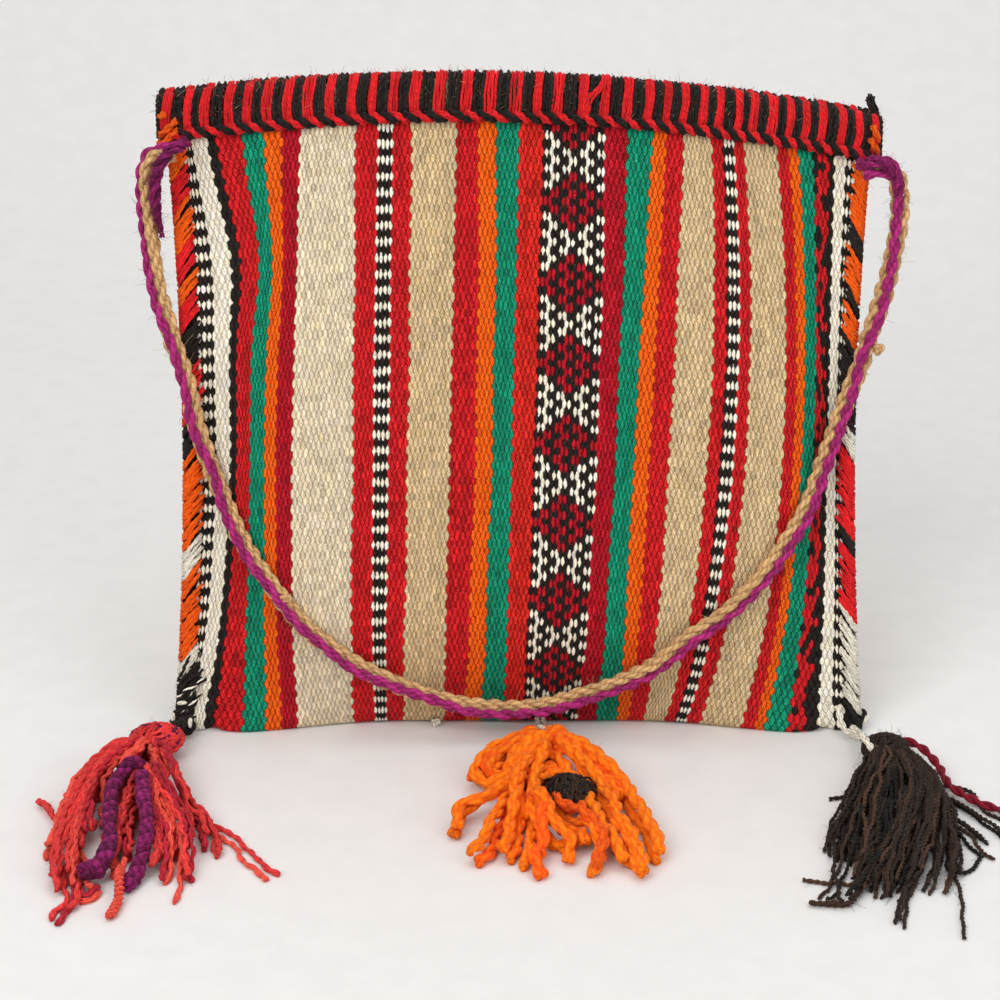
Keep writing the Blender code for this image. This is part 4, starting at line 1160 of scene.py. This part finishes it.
lashing = {
    # thick purple strands that come out under the rim and go over the strap's ends
    "left": ((-0.1448, 0.0150, 0.2652), (-0.1470, 0.0098, 0.2652), (-0.1505, 0.0064, 0.2642),
             (-0.1542, 0.0050, 0.2604),
             (-0.1570, 0.0050, 0.2548), (-0.1584, 0.0056, 0.2480), (-0.1587, 0.0066, 0.2405),
             (-0.1583, 0.0080, 0.2340),
             (-0.1575, 0.0094, 0.2285), (-0.1570, 0.0104, 0.2240)),
    "right": ((0.1484, 0.0150, 0.2555), (0.1506, 0.0098, 0.2574), (0.1542, 0.0066, 0.2592),
              (0.1585, 0.0061, 0.2589),
              (0.1622, 0.0068, 0.2556), (0.1645, 0.0078, 0.2495), (0.1652, 0.0086, 0.2420),
              (0.1648, 0.0094, 0.2350)),
    "strands": 3, "offset": 0.00155, "radius": 0.00150, "pitch": 0.026, "steps": 90, "fibres": 420,
    "fibreLength": 0.0040,
}


def makeLashing(word, side):
    path = smoothPath(lashing[word], lashing["steps"])[None]
    share = np.linspace(0, 1, lashing["steps"])
    thin = 1 - 0.62 * smoothStep((share - 0.62) / 0.34)[None]
    strands = helices(path, lashing["strands"], lashing["offset"] * thin, lashing["pitch"])
    plies = helices(strands, 2, 0.0005, 0.008)
    rng = np.random.default_rng(61 + side)
    taper = lashing["radius"] * 0.72 * thin
    names = ("plum", "plum", "violet") if word == "left" else ("magenta", "magenta", "violet")
    groups = [(plies, taper, 6, mixedTints(rng, names, len(plies)))]
    yarnPiece(f"{word}_lashing_strands", groups, "soft", "bag", "purple_wool", f"{word}_strap_lashing")
    places = pickFrom(rng, plies.reshape(-1, 3), lashing["fibres"])
    tints = mixedTints(rng, ("violet", "magenta"), len(places))
    fuzzPiece(f"{word}_lashing_fuzz", places, lashing["fibreLength"], tints, "bag", "purple_wool", rng)


def makeBottomKnot():
    path = trefoil((-0.0380, -0.0256, 0.0024), 0.0017)[None]
    groups = [(path, 0.0007, 8, np.array([colours["white"]]))]
    yarnPiece("bottom_knot_yarn", groups, "yarn", "bag", "white_cotton", "bottom_knot")


# Tassels: strands that are dropped on the floor one after another

millimetre = 0.001
tassels = {
    "left": {
        "look": "silky", "slot": "coral_wool", "colours": ("coral", "coral", "coral", "coral", "coralLight",
                                                           "coralLight", "coralDeep"),
        "offset": 0.00050, "radius": 0.00078, "pitch": 0.0135, "steps": 80, "sides": 6, "crinkle": 0.00060,
        "wave": (0.011, 0.026), "slubShare": 0.60, "cap": 0.0180, "shorten": 0.20, "endSwell": 0.35,
        "head": (0.0122, 0.0092, 0.0070), "headShift": (-0.0045, 0.0, 0.0), "headLoops": 34,
        "headYarn": 0.0010,
        "locks": (
            (12, 7, ((-164, -58), (-169, -85), (-171, -110), (-170, -135), (-167, -155))),
            (8, 6, ((-163, -58), (-160, -85), (-157, -110), (-152, -132), (-149, -150))),
            (2, 0.8, ((-184, -104), (-191, -112), (-197, -114), (-203, -107), (-208, -98))),
            (3, 3, ((-184, -80), (-188, -116), (-187, -142), (-183, -154), (-179, -176), (-172, -173),
                    (-173, -159))),
            (3, 2, ((-180, -80), (-187, -116), (-186, -154), (-184, -166), (-181, -181), (-184, -187),
                    (-185, -195))),
            (2, 2, ((-162, -71), (-150, -87), (-142, -103), (-132, -119), (-121, -130), (-112, -147),
                    (-102, -159))),
            (2, 2, ((-161, -68), (-149, -89), (-138, -108), (-130, -125), (-126, -143))),
            (5, 4, ((-163, -88), (-158, -105), (-153, -123), (-146, -139), (-145, -164))),
            (3, 4, ((-161, -91), (-157, -115), (-153, -134), (-151, -150), (-153, -159))),
            (4, 4, ((-166, -83), (-167, -120), (-168, -135), (-168, -150), (-167, -160))),
            (6, 5, ((-162, -83), (-156, -108), (-149, -123), (-141, -134), (-141, -152))),
            (4, 4, ((-163, -80), (-154, -102), (-144, -121), (-139, -137), (-136, -158), (-135, -179))),
            (6, 5, ((-162, -65), (-153, -90), (-145, -112), (-138, -123), (-134, -144))),
            (8, 4, ((-165, -60), (-180, -80), (-187, -94), (-190, -112), (-193, -134), (-194, -149))),
            (8, 4, ((-164, -60), (-182, -82), (-186, -102), (-189, -124), (-189, -146), (-188, -164),
                    (-186, -176))),
            (6, 3.5, ((-166, -61), (-181, -83), (-186, -94), (-188, -110), (-188, -131), (-183, -148))),
            (8, 5.5, ((-163, -60), (-177, -85), (-181, -99), (-181, -115), (-177, -134))),
        ),
    },
    "middle": {
        "slot": "bright_orange_wool", "colours": ("brightOrange", "brightOrange", "brightOrange",
                                                  "brightOrangeDeep"),
        "look": "fluffy",
        "offset": 0.00112, "radius": 0.00178, "pitch": 0.0200, "steps": 60, "sides": 9, "crinkle": 0.0005,
        "wave": (0.015, 0.030), "slubShare": 0.0, "cap": 0.0165, "shorten": 0.10, "endSwell": 0.10,
        "head": (0.0080, 0.0080, 0.0060), "headShift": (0.0015, 0.0, 0.0), "headLoops": 16,
        "headYarn": 0.0016,
        "locks": (
            (1, 1, ((4, -100), (4, -132), (2, -143), (1, -153))),
            (2, 3, ((5, -105), (14, -132), (22, -131), (23, -139))),
            (1, 1, ((11, -110), (9, -148), (6, -151), (10, -160))),
            (1, 1, ((7, -110), (16, -136), (20, -141), (19, -149))),
            (2, 2, ((14, -104), (27, -125), (32, -135), (34, -145), (30, -159))),
            (2, 3, ((0, -90), (-9, -124), (-11, -139), (-16, -151))),
            (2, 3, ((1, -84), (-2, -121), (-3, -133), (-7, -147))),
            (2, 3, ((7, -76), (-3, -97), (-14, -109), (-24, -113), (-26, -128))),
            (2, 2, ((14, -60), (26, -90), (31, -104), (35, -123), (41, -138), (45, -152))),
            (2, 2, ((15, -58), (33, -89), (39, -104), (42, -123), (48, -139), (51, -161))),
            (2, 2, ((16, -56), (37, -83), (46, -97), (49, -107), (54, -124), (57, -138), (58, -148))),
            (3, 5, ((12, -56), (-3, -61), (-10, -75), (-16, -88))),
            (2, 4, ((14, -59), (-1, -67), (-8, -84), (-17, -89))),
            (2, 4, ((14, -60), (5, -73), (-3, -84), (-4, -102), (-3, -112))),
            (2, 3, ((14, -58), (26, -76), (38, -88), (47, -100))),
            (2, 2, ((14, -56), (27, -69), (41, -85))),
            (1, 1, ((12, -66), (10, -83), (7, -90), (6, -101), (5, -112), (1, -119))),
            (3, 3, ((15, -57), (0, -61), (-12, -71), (-17, -82), (-13, -90), (-4, -88), (4, -84))),
            (3, 3, ((15, -57), (6, -63), (-3, -74), (-7, -87), (0, -93), (8, -87))),
            (3, 3, ((16, -57), (10, -66), (3, -78), (5, -88), (12, -82), (18, -74))),
            (2, 2, ((12, -56), (22, -60), (29, -70), (33, -82))),
        ),
    },
    "right": {
        "look": "soft", "slot": "dark_brown_wool", "colours": ("darkBrown", "darkBrown", "black", "brown",
                                                               "umber"),
        "offset": 0.00050, "radius": 0.00058, "pitch": 0.0058, "steps": 70, "sides": 5, "crinkle": 0.0005,
        "wave": (0.014, 0.035), "slubShare": 0.04, "cap": 0.0150, "shorten": 0.22, "endSwell": 0.0,
        "head": (0.0105, 0.0085, 0.0065), "headShift": (0.0030, -0.0066, -0.0012), "headLoops": 34,
        "headYarn": 0.0009,
        "locks": (
            (1, 1, ((160, -110), (140, -161), (129, -165), (116, -162))),
            (2, 2, ((155, -120), (136, -174), (127, -179), (117, -178))),
            (1, 1, ((156, -58), (151, -78), (146, -90), (136, -96))),
            (1, 1, ((168, -62), (180, -84), (187, -82), (197, -87), (201, -103), (207, -113))),
            (2, 2, ((168, -62), (181, -92), (191, -102), (196, -110), (202, -122), (204, -128))),
            (3, 2, ((168, -66), (178, -96), (187, -112), (194, -126), (197, -138), (201, -145))),
            (1, 1, ((170, -80), (186, -122), (185, -134), (182, -148), (180, -168), (179, -186),
                    (176, -205))),
            (1, 1, ((172, -84), (191, -136), (193, -144), (187, -156), (177, -159))),
            (8, 5, ((162, -60), (151, -83), (142, -108), (136, -129), (133, -151))),
            (8, 5, ((162, -60), (153, -88), (146, -112), (140, -135), (138, -155))),
            (10, 5, ((166, -62), (179, -108), (179, -130), (177, -150), (170, -170), (164, -177))),
            (8, 5, ((163, -60), (156, -89), (150, -114), (144, -138), (135, -167), (127, -183))),
            (8, 5, ((166, -62), (177, -98), (175, -111), (167, -133), (159, -157), (150, -180),
                    (146, -201))),
            (8, 5, ((166, -62), (178, -103), (177, -123), (171, -144), (162, -167), (154, -182))),
            (8, 5, ((164, -60), (163, -96), (157, -121), (153, -142), (140, -165), (129, -182))),
            (8, 5, ((165, -60), (171, -89), (165, -114), (157, -138), (146, -161), (141, -180))),
            (8, 5, ((165, -60), (172, -96), (166, -121), (158, -144), (151, -167), (146, -186))),
            (2, 2, ((165, -60), (164, -84), (154, -99), (149, -116), (146, -142))),
            (3, 3, ((166, -60), (162, -87), (154, -104), (153, -120), (147, -138))),
            (1, 1, ((158, -60), (148, -84), (140, -108), (134, -126), (129, -134), (132, -139), (129, -153),
                    (129, -183))),
        ),
    },
}
loopRoutes = {
    "left": ((-0.1568, -0.0324, 0.0060), (-0.1575, -0.0380, 0.0074), (-0.1580, -0.0446, 0.0090)),
    "middle": ((0.0100, -0.0230, 0.0045), (0.0114, -0.0330, 0.0048), (0.0126, -0.0420, 0.0062)),
    "right": ((0.1568, -0.0325, 0.0060), (0.1590, -0.0380, 0.0073), (0.1608, -0.0446, 0.0087)),
}


chainRoutes = {
    "middle": ((0.0100, -0.0235, 0.0045), (0.0101, -0.0332, 0.0046), (0.0103, -0.0422, 0.0064),
               (0.0105, -0.0497, 0.0122)),
    "right": ((0.1532, -0.0365, 0.0052), (0.1530, -0.0440, 0.0060), (0.1538, -0.0520, 0.0078)),
    "corner": ((0.1462, -0.0285, 0.0125), (0.1470, -0.0312, 0.0085), (0.1482, -0.0346, 0.0050),
               (0.1504, -0.0384, 0.0042),
               (0.1526, -0.0396, 0.0050), (0.1540, -0.0384, 0.0058)),
    "eye": ((0.1552, -0.0500, 0.0080), (0.1540, -0.0550, 0.0112), (0.1541, -0.0600, 0.0128),
            (0.1552, -0.0650, 0.0130),
            (0.1570, -0.0690, 0.0110)),
}
cornerKnots = {  # in millimetres
    "left_tassel": ((-154.8, -29.0, 8.0), (-152.0, -32.5, 6.2), (-150.5, -37.0, 5.8), (-156.0, -33.0, 5.5),
                    (-154.5, -39.0, 7.8),
                    (-153.5, -30.0, 3.8), (-157.5, -38.0, 6.0)),
    "right_corner": ((153.0, -26.2, 8.0), (156.5, -25.5, 6.0), (155.0, -27.5, 4.5)),
}
cornerStitches = {  # place and direction of each short stitch
    "left_corner": (((-153.8, -29.8, 14.5), (1.0, 0.0, 0.1)),),
    "left_tassel": (((-157.6, -34.5, 9.5), (0.0, 0.39, 0.92)), ((-149.5, -37.5, 8.5), (0.1, 0.39, 0.9)),
                    ((-160.2, -39.5, 7.6), (0.5, 0.3, 0.7)), ((-155.4, -45.5, 8.2), (0.5, 0.3, 0.7)),
                    ((-153.2, -45.5, 8.2), (-0.5, 0.3, 0.7))),
    "right_corner": (((159.4, -29.0, 5.6), (0.3, 0.3, 0.6)),),
}


class Heap:  # heights over the floor of what has been laid down so far
    def __init__(self, low, high, cell=0.0006):
        self.low, self.cell = np.asarray(low) - 0.01, cell
        self.top = np.zeros(np.ceil((np.asarray(high) + 0.01 - self.low) / cell).astype(int) + 1)

    def disc(self, radius):
        n = int(radius / self.cell) + 1
        dx, dy = (part.ravel() for part in np.mgrid[-n:n + 1, -n:n + 1])
        squares = radius**2 - (dx**2 + dy**2) * self.cell**2
        keep = squares > 0
        return dx[keep], dy[keep], np.sqrt(squares[keep])

    def cells(self, xy, radius):
        dx, dy, round_ = self.disc(radius)
        index = np.round((xy - self.low) / self.cell).astype(int)
        ix = np.clip(index[:, :1] + dx, 0, self.top.shape[0] - 1)
        iy = np.clip(index[:, 1:] + dy, 0, self.top.shape[1] - 1)
        return ix, iy, round_

    def lay(self, xy, radius, cap, slope=0.7):
        # rests on what lies below, sags between supports no steeper than the slope, then adds itself
        ix, iy, round_ = self.cells(xy, radius)
        z = np.maximum((self.top[ix, iy] + round_).max(axis=1), radius)
        s = np.r_[0, np.cumsum(np.linalg.norm(np.diff(xy, axis=0), axis=1))]
        forward = np.maximum.accumulate(z + slope * s) - slope * s
        back = (np.maximum.accumulate((z - slope * s)[::-1]) + slope * s[::-1])[::-1]
        z = np.maximum(forward, back)
        for _ in range(3):
            z[1:-1] = (z[:-2] + 2 * z[1:-1] + z[2:]) / 4
        z = np.minimum(z, cap)
        np.maximum.at(self.top, (ix, iy), z[:, None] + round_)
        return z


def layStrands(word, heap, rng):
    # each lock is a bundle of strands beside one given line on the floor
    look = tassels[word]
    radius = look["offset"] + look["radius"]
    paths = []
    for count, spread, line in look["locks"]:
        base = smoothPath(np.array([(x, y, 0) for x, y in line]) * millimetre, look["steps"])
        for _ in range(count):
            share = np.linspace(0, 1 - (look["shorten"] * rng.random() if count > 2 else 0), look["steps"])
            whole = np.linspace(0, 1, look["steps"])
            path = np.stack([np.interp(share, whole, base[:, axis]) for axis in (0, 1)], axis=-1)
            s = np.r_[0, np.cumsum(np.linalg.norm(np.diff(path, axis=0), axis=1))]
            along = unit(np.gradient(path, axis=0))
            across = np.stack([-along[:, 1], along[:, 0]], axis=-1)
            wide, bend, phase, phase2 = *np.clip(rng.standard_normal(2), -1.4, 1.4), *rng.uniform(0, 6.3, 2)
            shift = spread * millimetre * (wide * (0.35 + 0.65 * share) + 0.35 * bend * np.sin(3 * share + phase))
            wave = rng.uniform(*look["wave"])
            crinkle = np.sin(2 * pi * s / wave + phase) + 0.5 * np.sin(4.7 * pi * s / wave + phase2)
            shift = shift + look["crinkle"] * crinkle * smoothStep(s / 0.012)
            path = path + across * shift[:, None]
            tall = look["cap"] * (1.0 - 0.62 * share) * (0.45 + 0.55 * smoothStep(share / 0.14))
            tall = tall + 0.0008 * rng.standard_normal()
            z = heap.lay(path, radius, np.maximum(tall, radius))
            paths.append(np.concatenate([path, z[:, None]], axis=1))
    return np.array(paths)


def tasselHead(word):
    # a ball of yarn: loops wound round an ellipsoid in many directions, over a plain core
    look = tassels[word]
    rng = np.random.default_rng(71)
    end = np.array(loopRoutes[word][-1])
    radii = np.array(look["head"])
    middle = end + look["headShift"] + np.array([0, -radii[1] - bag["clearance"], 0])
    count = look["headLoops"]
    axis = unit(rng.standard_normal((count, 3)) * (1.0, 0.35, 1.0))
    first = unit(np.cross(axis, (0.1, 1, 0.2)))
    second = np.cross(axis, first)
    a = np.linspace(0, 2 * pi * 1.04, 34)[None, :, None]
    shift = axis * rng.uniform(-0.45, 0.45, (count, 1))
    size = np.sqrt(1 - (shift**2).sum(-1))[:, None, None]
    ring = shift[:, None] + size * (first[:, None] * np.cos(a) + second[:, None] * np.sin(a))
    wobble = 1 + 0.03 * np.sin(3 * a + rng.uniform(0, 6, (count, 1, 1)))
    loops = middle + ring * (radii - 0.6 * look["headYarn"]) * wobble
    t = np.linspace(-1, 1, 13)
    core = middle + np.stack([t * radii[0], 0 * t, 0 * t], axis=-1) * 0.88
    coreRadii = 0.86 * radii[1:].min() * np.sqrt(np.maximum(1 - t**2, 0.004))
    return loops, core[None], coreRadii[None]


tasselFibres = {
    "left": {"count": 2200, "length": 0.0032, "colours": ("coral", "coralLight", "coralDeep")},
    "middle": {"count": 2400, "length": 0.0040, "colours": ("brightOrange", "brightOrangeDeep")},
    "right": {"count": 3400, "length": 0.0044, "colours": ("darkBrown", "umber", "brown")},
}


def makeTassel(word):
    look = tassels[word]
    rng = np.random.default_rng({"left": 81, "middle": 82, "right": 83}[word])
    places = np.array([point for lock in look["locks"] for point in lock[2]]) * millimetre
    heap = Heap(places.min(axis=0), places.max(axis=0))
    paths = layStrands(word, heap, rng)
    count = len(paths)
    chosen = rng.integers(0, len(look["colours"]), count)
    tone = 1 + 0.10 * rng.standard_normal((count, 1))
    tint = np.clip(np.array([colours[look["colours"][k]] for k in chosen]) * tone, 0.003, 1)
    plies = helices(paths, 2, look["offset"], look["pitch"], rng.uniform(0, 6, count))
    share = np.linspace(0, 1, look["steps"])[None]
    slub = np.where(rng.random((count, 1)) < look["slubShare"], rng.uniform(0.3, 0.9, (count, 1)), 0)
    place = rng.uniform(0.25, 0.95, (count, 1))
    swell = 1 + slub * np.exp(-((share - place) / 0.06) ** 2) + 0.06 * rng.standard_normal((count, 1))
    swell = swell * (1 + look["endSwell"] * np.exp(-((share - 0.95) / 0.05) ** 2))
    radii = look["radius"] * np.tile(swell, (2, 1))
    body = f"{word}_tassel"
    groups = [(plies, radii, look["sides"], np.tile(tint, (2, 1)))]
    yarnPiece(body + "_strands", groups, look["look"], body, look["slot"], body + "_skirt")
    loops, core, coreRadii = tasselHead(word)
    fibres = tasselFibres[word]
    wool = np.concatenate([paths[:, 6:].reshape(-1, 3), loops.reshape(-1, 3)])
    places = pickFrom(rng, wool, fibres["count"])
    tints = mixedTints(rng, fibres["colours"], len(places))
    fuzzPiece(body + "_fuzz", places, fibres["length"], tints, body, look["slot"], rng)
    tone = shades(rng, colours[look["colours"][0]], len(loops), 0.12)
    if word == "left":
        tone[::6] = colours["purple"]
    twisted = helices(loops, 2, look["headYarn"] * 0.5, look["pitch"], rng.uniform(0, 6, len(loops)))
    # the core at half the loops' tone: painted shade in the gaps between the loops
    groups = [
        (twisted, look["headYarn"] * 0.62, 6, np.tile(tone, (2, 1))),
        (core, coreRadii, 20, tone[1:2] * 0.5),
    ]
    yarnPiece(body + "_ball", groups, look["look"], body, look["slot"], body + "_head")
    return heap


def makeLoops():
    rng = np.random.default_rng(91)
    left = smoothPath(loopRoutes["left"], 24)[None]
    plies = helices(left, 2, 0.0008, 0.006)
    tints = np.array([colours["black"], colours["white"]])
    groups = [(plies, 0.0009, 8, tints)]
    yarnPiece("left_tassel_thread", groups, "yarn", "left_tassel", "white_cotton", "left_tassel_loop")
    # knots of black yarn at both lower corners, with short white stitches over them
    for word, body in (("left_tassel", "left_tassel"), ("right_corner", "bag")):
        knots = np.array([trefoil(np.array(p) * millimetre, 0.0030, 40) for p in cornerKnots[word]])
        tints = shades(rng, colours["black"], len(knots), 0.25)
        groups = [(knots, 0.00105, 7, tints)]
        yarnPiece(f"{word}_knots", groups, "hairy", body, "black_wool")
    for word, body in (("left_corner", "bag"), ("left_tassel", "left_tassel"), ("right_corner", "bag")):
        t = np.linspace(-1, 1, 9)[:, None]
        stitches = [
            np.array(p) * millimetre + 0.0021 * t * unit(np.array(d)) + 0.0008 * (1 - t**2) * np.array([0, -0.8, 0.6])
            for p, d in cornerStitches[word]
        ]
        white = np.repeat([colours["white"]], len(stitches), axis=0)
        radii = 0.0010 * (1 - 0.5 * t[:, 0] ** 4)[None]
        groups = [(np.array(stitches), radii, 8, white)]
        yarnPiece(f"{word}_stitches", groups, "bright", body, "white_cotton")
    a = np.linspace(0, 2 * pi, 30)
    white = np.array([colours["white"]])
    for word, count in (("middle", 3), ("right", 3)):
        line = smoothPath(chainRoutes[word], count + 1)
        links = []
        for number, (p, q) in enumerate(zip(line, line[1:])):
            along = (q - p) * 0.70
            flip = np.array([0.0017, 0, 0.0008]) if number % 2 else np.array([0.0015, 0, -0.0010])
            links.append((p + q) / 2 + along * np.cos(a)[:, None] + flip * np.sin(a)[:, None])
        groups = [(np.array(links), 0.0010, 8, np.repeat(white, count, axis=0))]
        yarnPiece(f"{word}_tassel_chain", groups, "yarn", f"{word}_tassel", "white_cotton", f"{word}_tassel_loop")
    # a white cord from the bag's right corner to the chain, and one that comes out of the tassel's head
    for name, body, route in (("right_corner_cord", "bag", chainRoutes["corner"]), ("right_tassel_eye", "right_tassel", chainRoutes["eye"])):
        line = smoothPath(route, 40)[None]
        plies = helices(line, 2, 0.0007, 0.009)
        groups = [(plies, 0.00095, 8, np.repeat(white, 2, axis=0))]
        yarnPiece(name, groups, "bright", body, "white_cotton")


# what lies on the tassels

purpleCords = {
    "routes": (
        ((-161, -84), (-165, -90), (-170, -97), (-174, -105), (-174, -119), (-172, -137), (-170, -152),
         (-173, -161), (-179, -168)),
        ((-164, -96), (-162, -105), (-160, -119), (-157, -132), (-156, -145), (-157, -156), (-159, -163),
         (-162, -169)),
    ),
    "radius": 0.0033, "offset": 0.00150, "ply": 0.00175, "pitch": 0.0088, "steps": 240, "sides": 9,
    "cap": 0.0215,
    "endSwell": (0.40, 0.15), "buried": 0.0100, "wrapped": ((-163, -158), (-164, -168), (-163, -178),
                                                            (-165, -191)), "fibres": 900,
}


def makePurpleCords(heap):
    c = purpleCords
    rng = np.random.default_rng(95)
    paths = []
    for route in c["routes"]:
        line = smoothPath(np.array([(x, y, 0) for x, y in route]) * millimetre, c["steps"])[:, :2]
        z = heap.lay(line, c["radius"], np.full(c["steps"], c["cap"]) - 0.009 * np.linspace(0, 1, c["steps"]) ** 2)
        z = z - c["buried"] * (1 - smoothStep(np.linspace(0, 1, c["steps"]) / 0.16))
        paths.append(np.concatenate([line, np.maximum(z, c["radius"])[:, None]], axis=1))
    paths = np.array(paths)
    run, share = runningLength(paths), np.linspace(0, 1, c["steps"])[None]
    frayed = 1 + np.array(c["endSwell"])[:, None] * np.exp(-((share - 0.93) / 0.09) ** 2)
    uneven = frayed * (1 + 0.07 * np.sin(run * 260) + 0.05 * np.sin(run * 611 + 2))
    plies = helices(paths, 3, c["offset"] * uneven, c["pitch"])
    radii = c["ply"] * np.tile(uneven * (1 + 0.06 * np.sin(run * 1900)), (3, 1))
    tints = mixedTints(rng, ("plum", "purple", "violet"), len(plies), 0.05)
    groups = [(plies, radii, c["sides"], tints)]
    yarnPiece("left_tassel_purple_cords", groups, "ribbed", "left_tassel", "purple_wool", "left_tassel_purple_cord")
    places = pickFrom(rng, plies.reshape(-1, 3), c["fibres"])
    tints = mixedTints(rng, ("plum", "violet", "magenta"), len(places))
    fuzzPiece("left_tassel_purple_fuzz", places, 0.0042, tints, "left_tassel", "purple_wool", rng)
    # one bundle of coral yarn is bound at its end by a coil
    line = smoothPath(np.array([(x, y, 0) for x, y in c["wrapped"]]) * millimetre, 120)[:, :2]
    z = heap.lay(line, 0.0026, np.full(120, 0.012))
    bound = np.concatenate([line, z[:, None]], axis=1)[None]
    coil = helices(bound[:, 20:], 1, 0.00150, 0.0022)
    tints = shades(rng, colours["coralLight"], 2)
    groups = [(bound, 0.0013, 8, tints[:1]), (coil, 0.00080, 6, tints[1:])]
    yarnPiece("left_tassel_bound_end", groups, "soft", "left_tassel", "coral_wool")


def makeBrownTuft():
    rng = np.random.default_rng(96)
    count, steps = 220, 9
    s = np.linspace(0, 1, steps)[None]
    angle = rng.uniform(0, 2 * pi, (count, 1))
    size = np.sqrt(rng.uniform(0.02, 1, (count, 1)))
    x = 0.0215 + 0.0100 * size * np.cos(angle) + 0.004 * (s - 0.5) * rng.standard_normal((count, 1))
    y = -0.0985 + 0.0100 * size * np.sin(angle) - 0.008 * (s - 0.5)
    dip = 0.0105 * (1 - 0.5 * size**2)
    z = 0.004 + dip * np.sin(pi * (0.15 + 0.7 * s)) + 0.001 * rng.standard_normal((count, 1)) * s
    paths = np.stack([x, y, np.maximum(z, 0.001)], axis=-1)
    tints = np.array([colours["darkBrown"], colours["umber"], colours["black"]])[rng.integers(0, 3, count)]
    groups = [(paths, 0.00045, 5, tints)]
    yarnPiece("middle_tassel_brown_hair", groups, "soft", "middle_tassel", "dark_brown_wool", "middle_tassel_brown_tuft")


def makeCrimsonStrand():
    route = ((0.1690, -0.0550, 0.0100), (0.1756, -0.0581, 0.0095), (0.1811, -0.0627, 0.0080), (0.1857, -0.0733, 0.0060),
             (0.1881, -0.0870, 0.0045), (0.1930, -0.0943, 0.0036), (0.2001, -0.1016, 0.0030),
             (0.2069, -0.1058, 0.0026),
             (0.2120, -0.1072, 0.0024))
    line = smoothPath(route, 80)[None]
    plies = helices(line, 2, 0.0010, 0.016)
    rng = np.random.default_rng(97)
    groups = [(plies, 0.00105, 7, shades(rng, colours["deepCrimson"], 2, 0.12))]
    yarnPiece("right_tassel_crimson_plies", groups, "soft", "right_tassel", "crimson_wool", "right_tassel_crimson_strand")


makeStrap()
for rimWord, rimSide in (("front", -1), ("back", 1)):
    makeRims(rimWord, rimSide)
for endWord, endSide in (("left", -1), ("right", 1)):
    makeEndWraps(endWord, endSide)
    makeLacing(endWord, endSide)
    makeLashing(endWord, endSide)
makeCornerTuft()
makeBottomKnot()
print("stage: rims, side stitching and lashings")
makePurpleCords(makeTassel("left"))
makeTassel("middle")
makeBrownTuft()
makeTassel("right")
makeCrimsonStrand()
makeLoops()
print("stage: tassels")
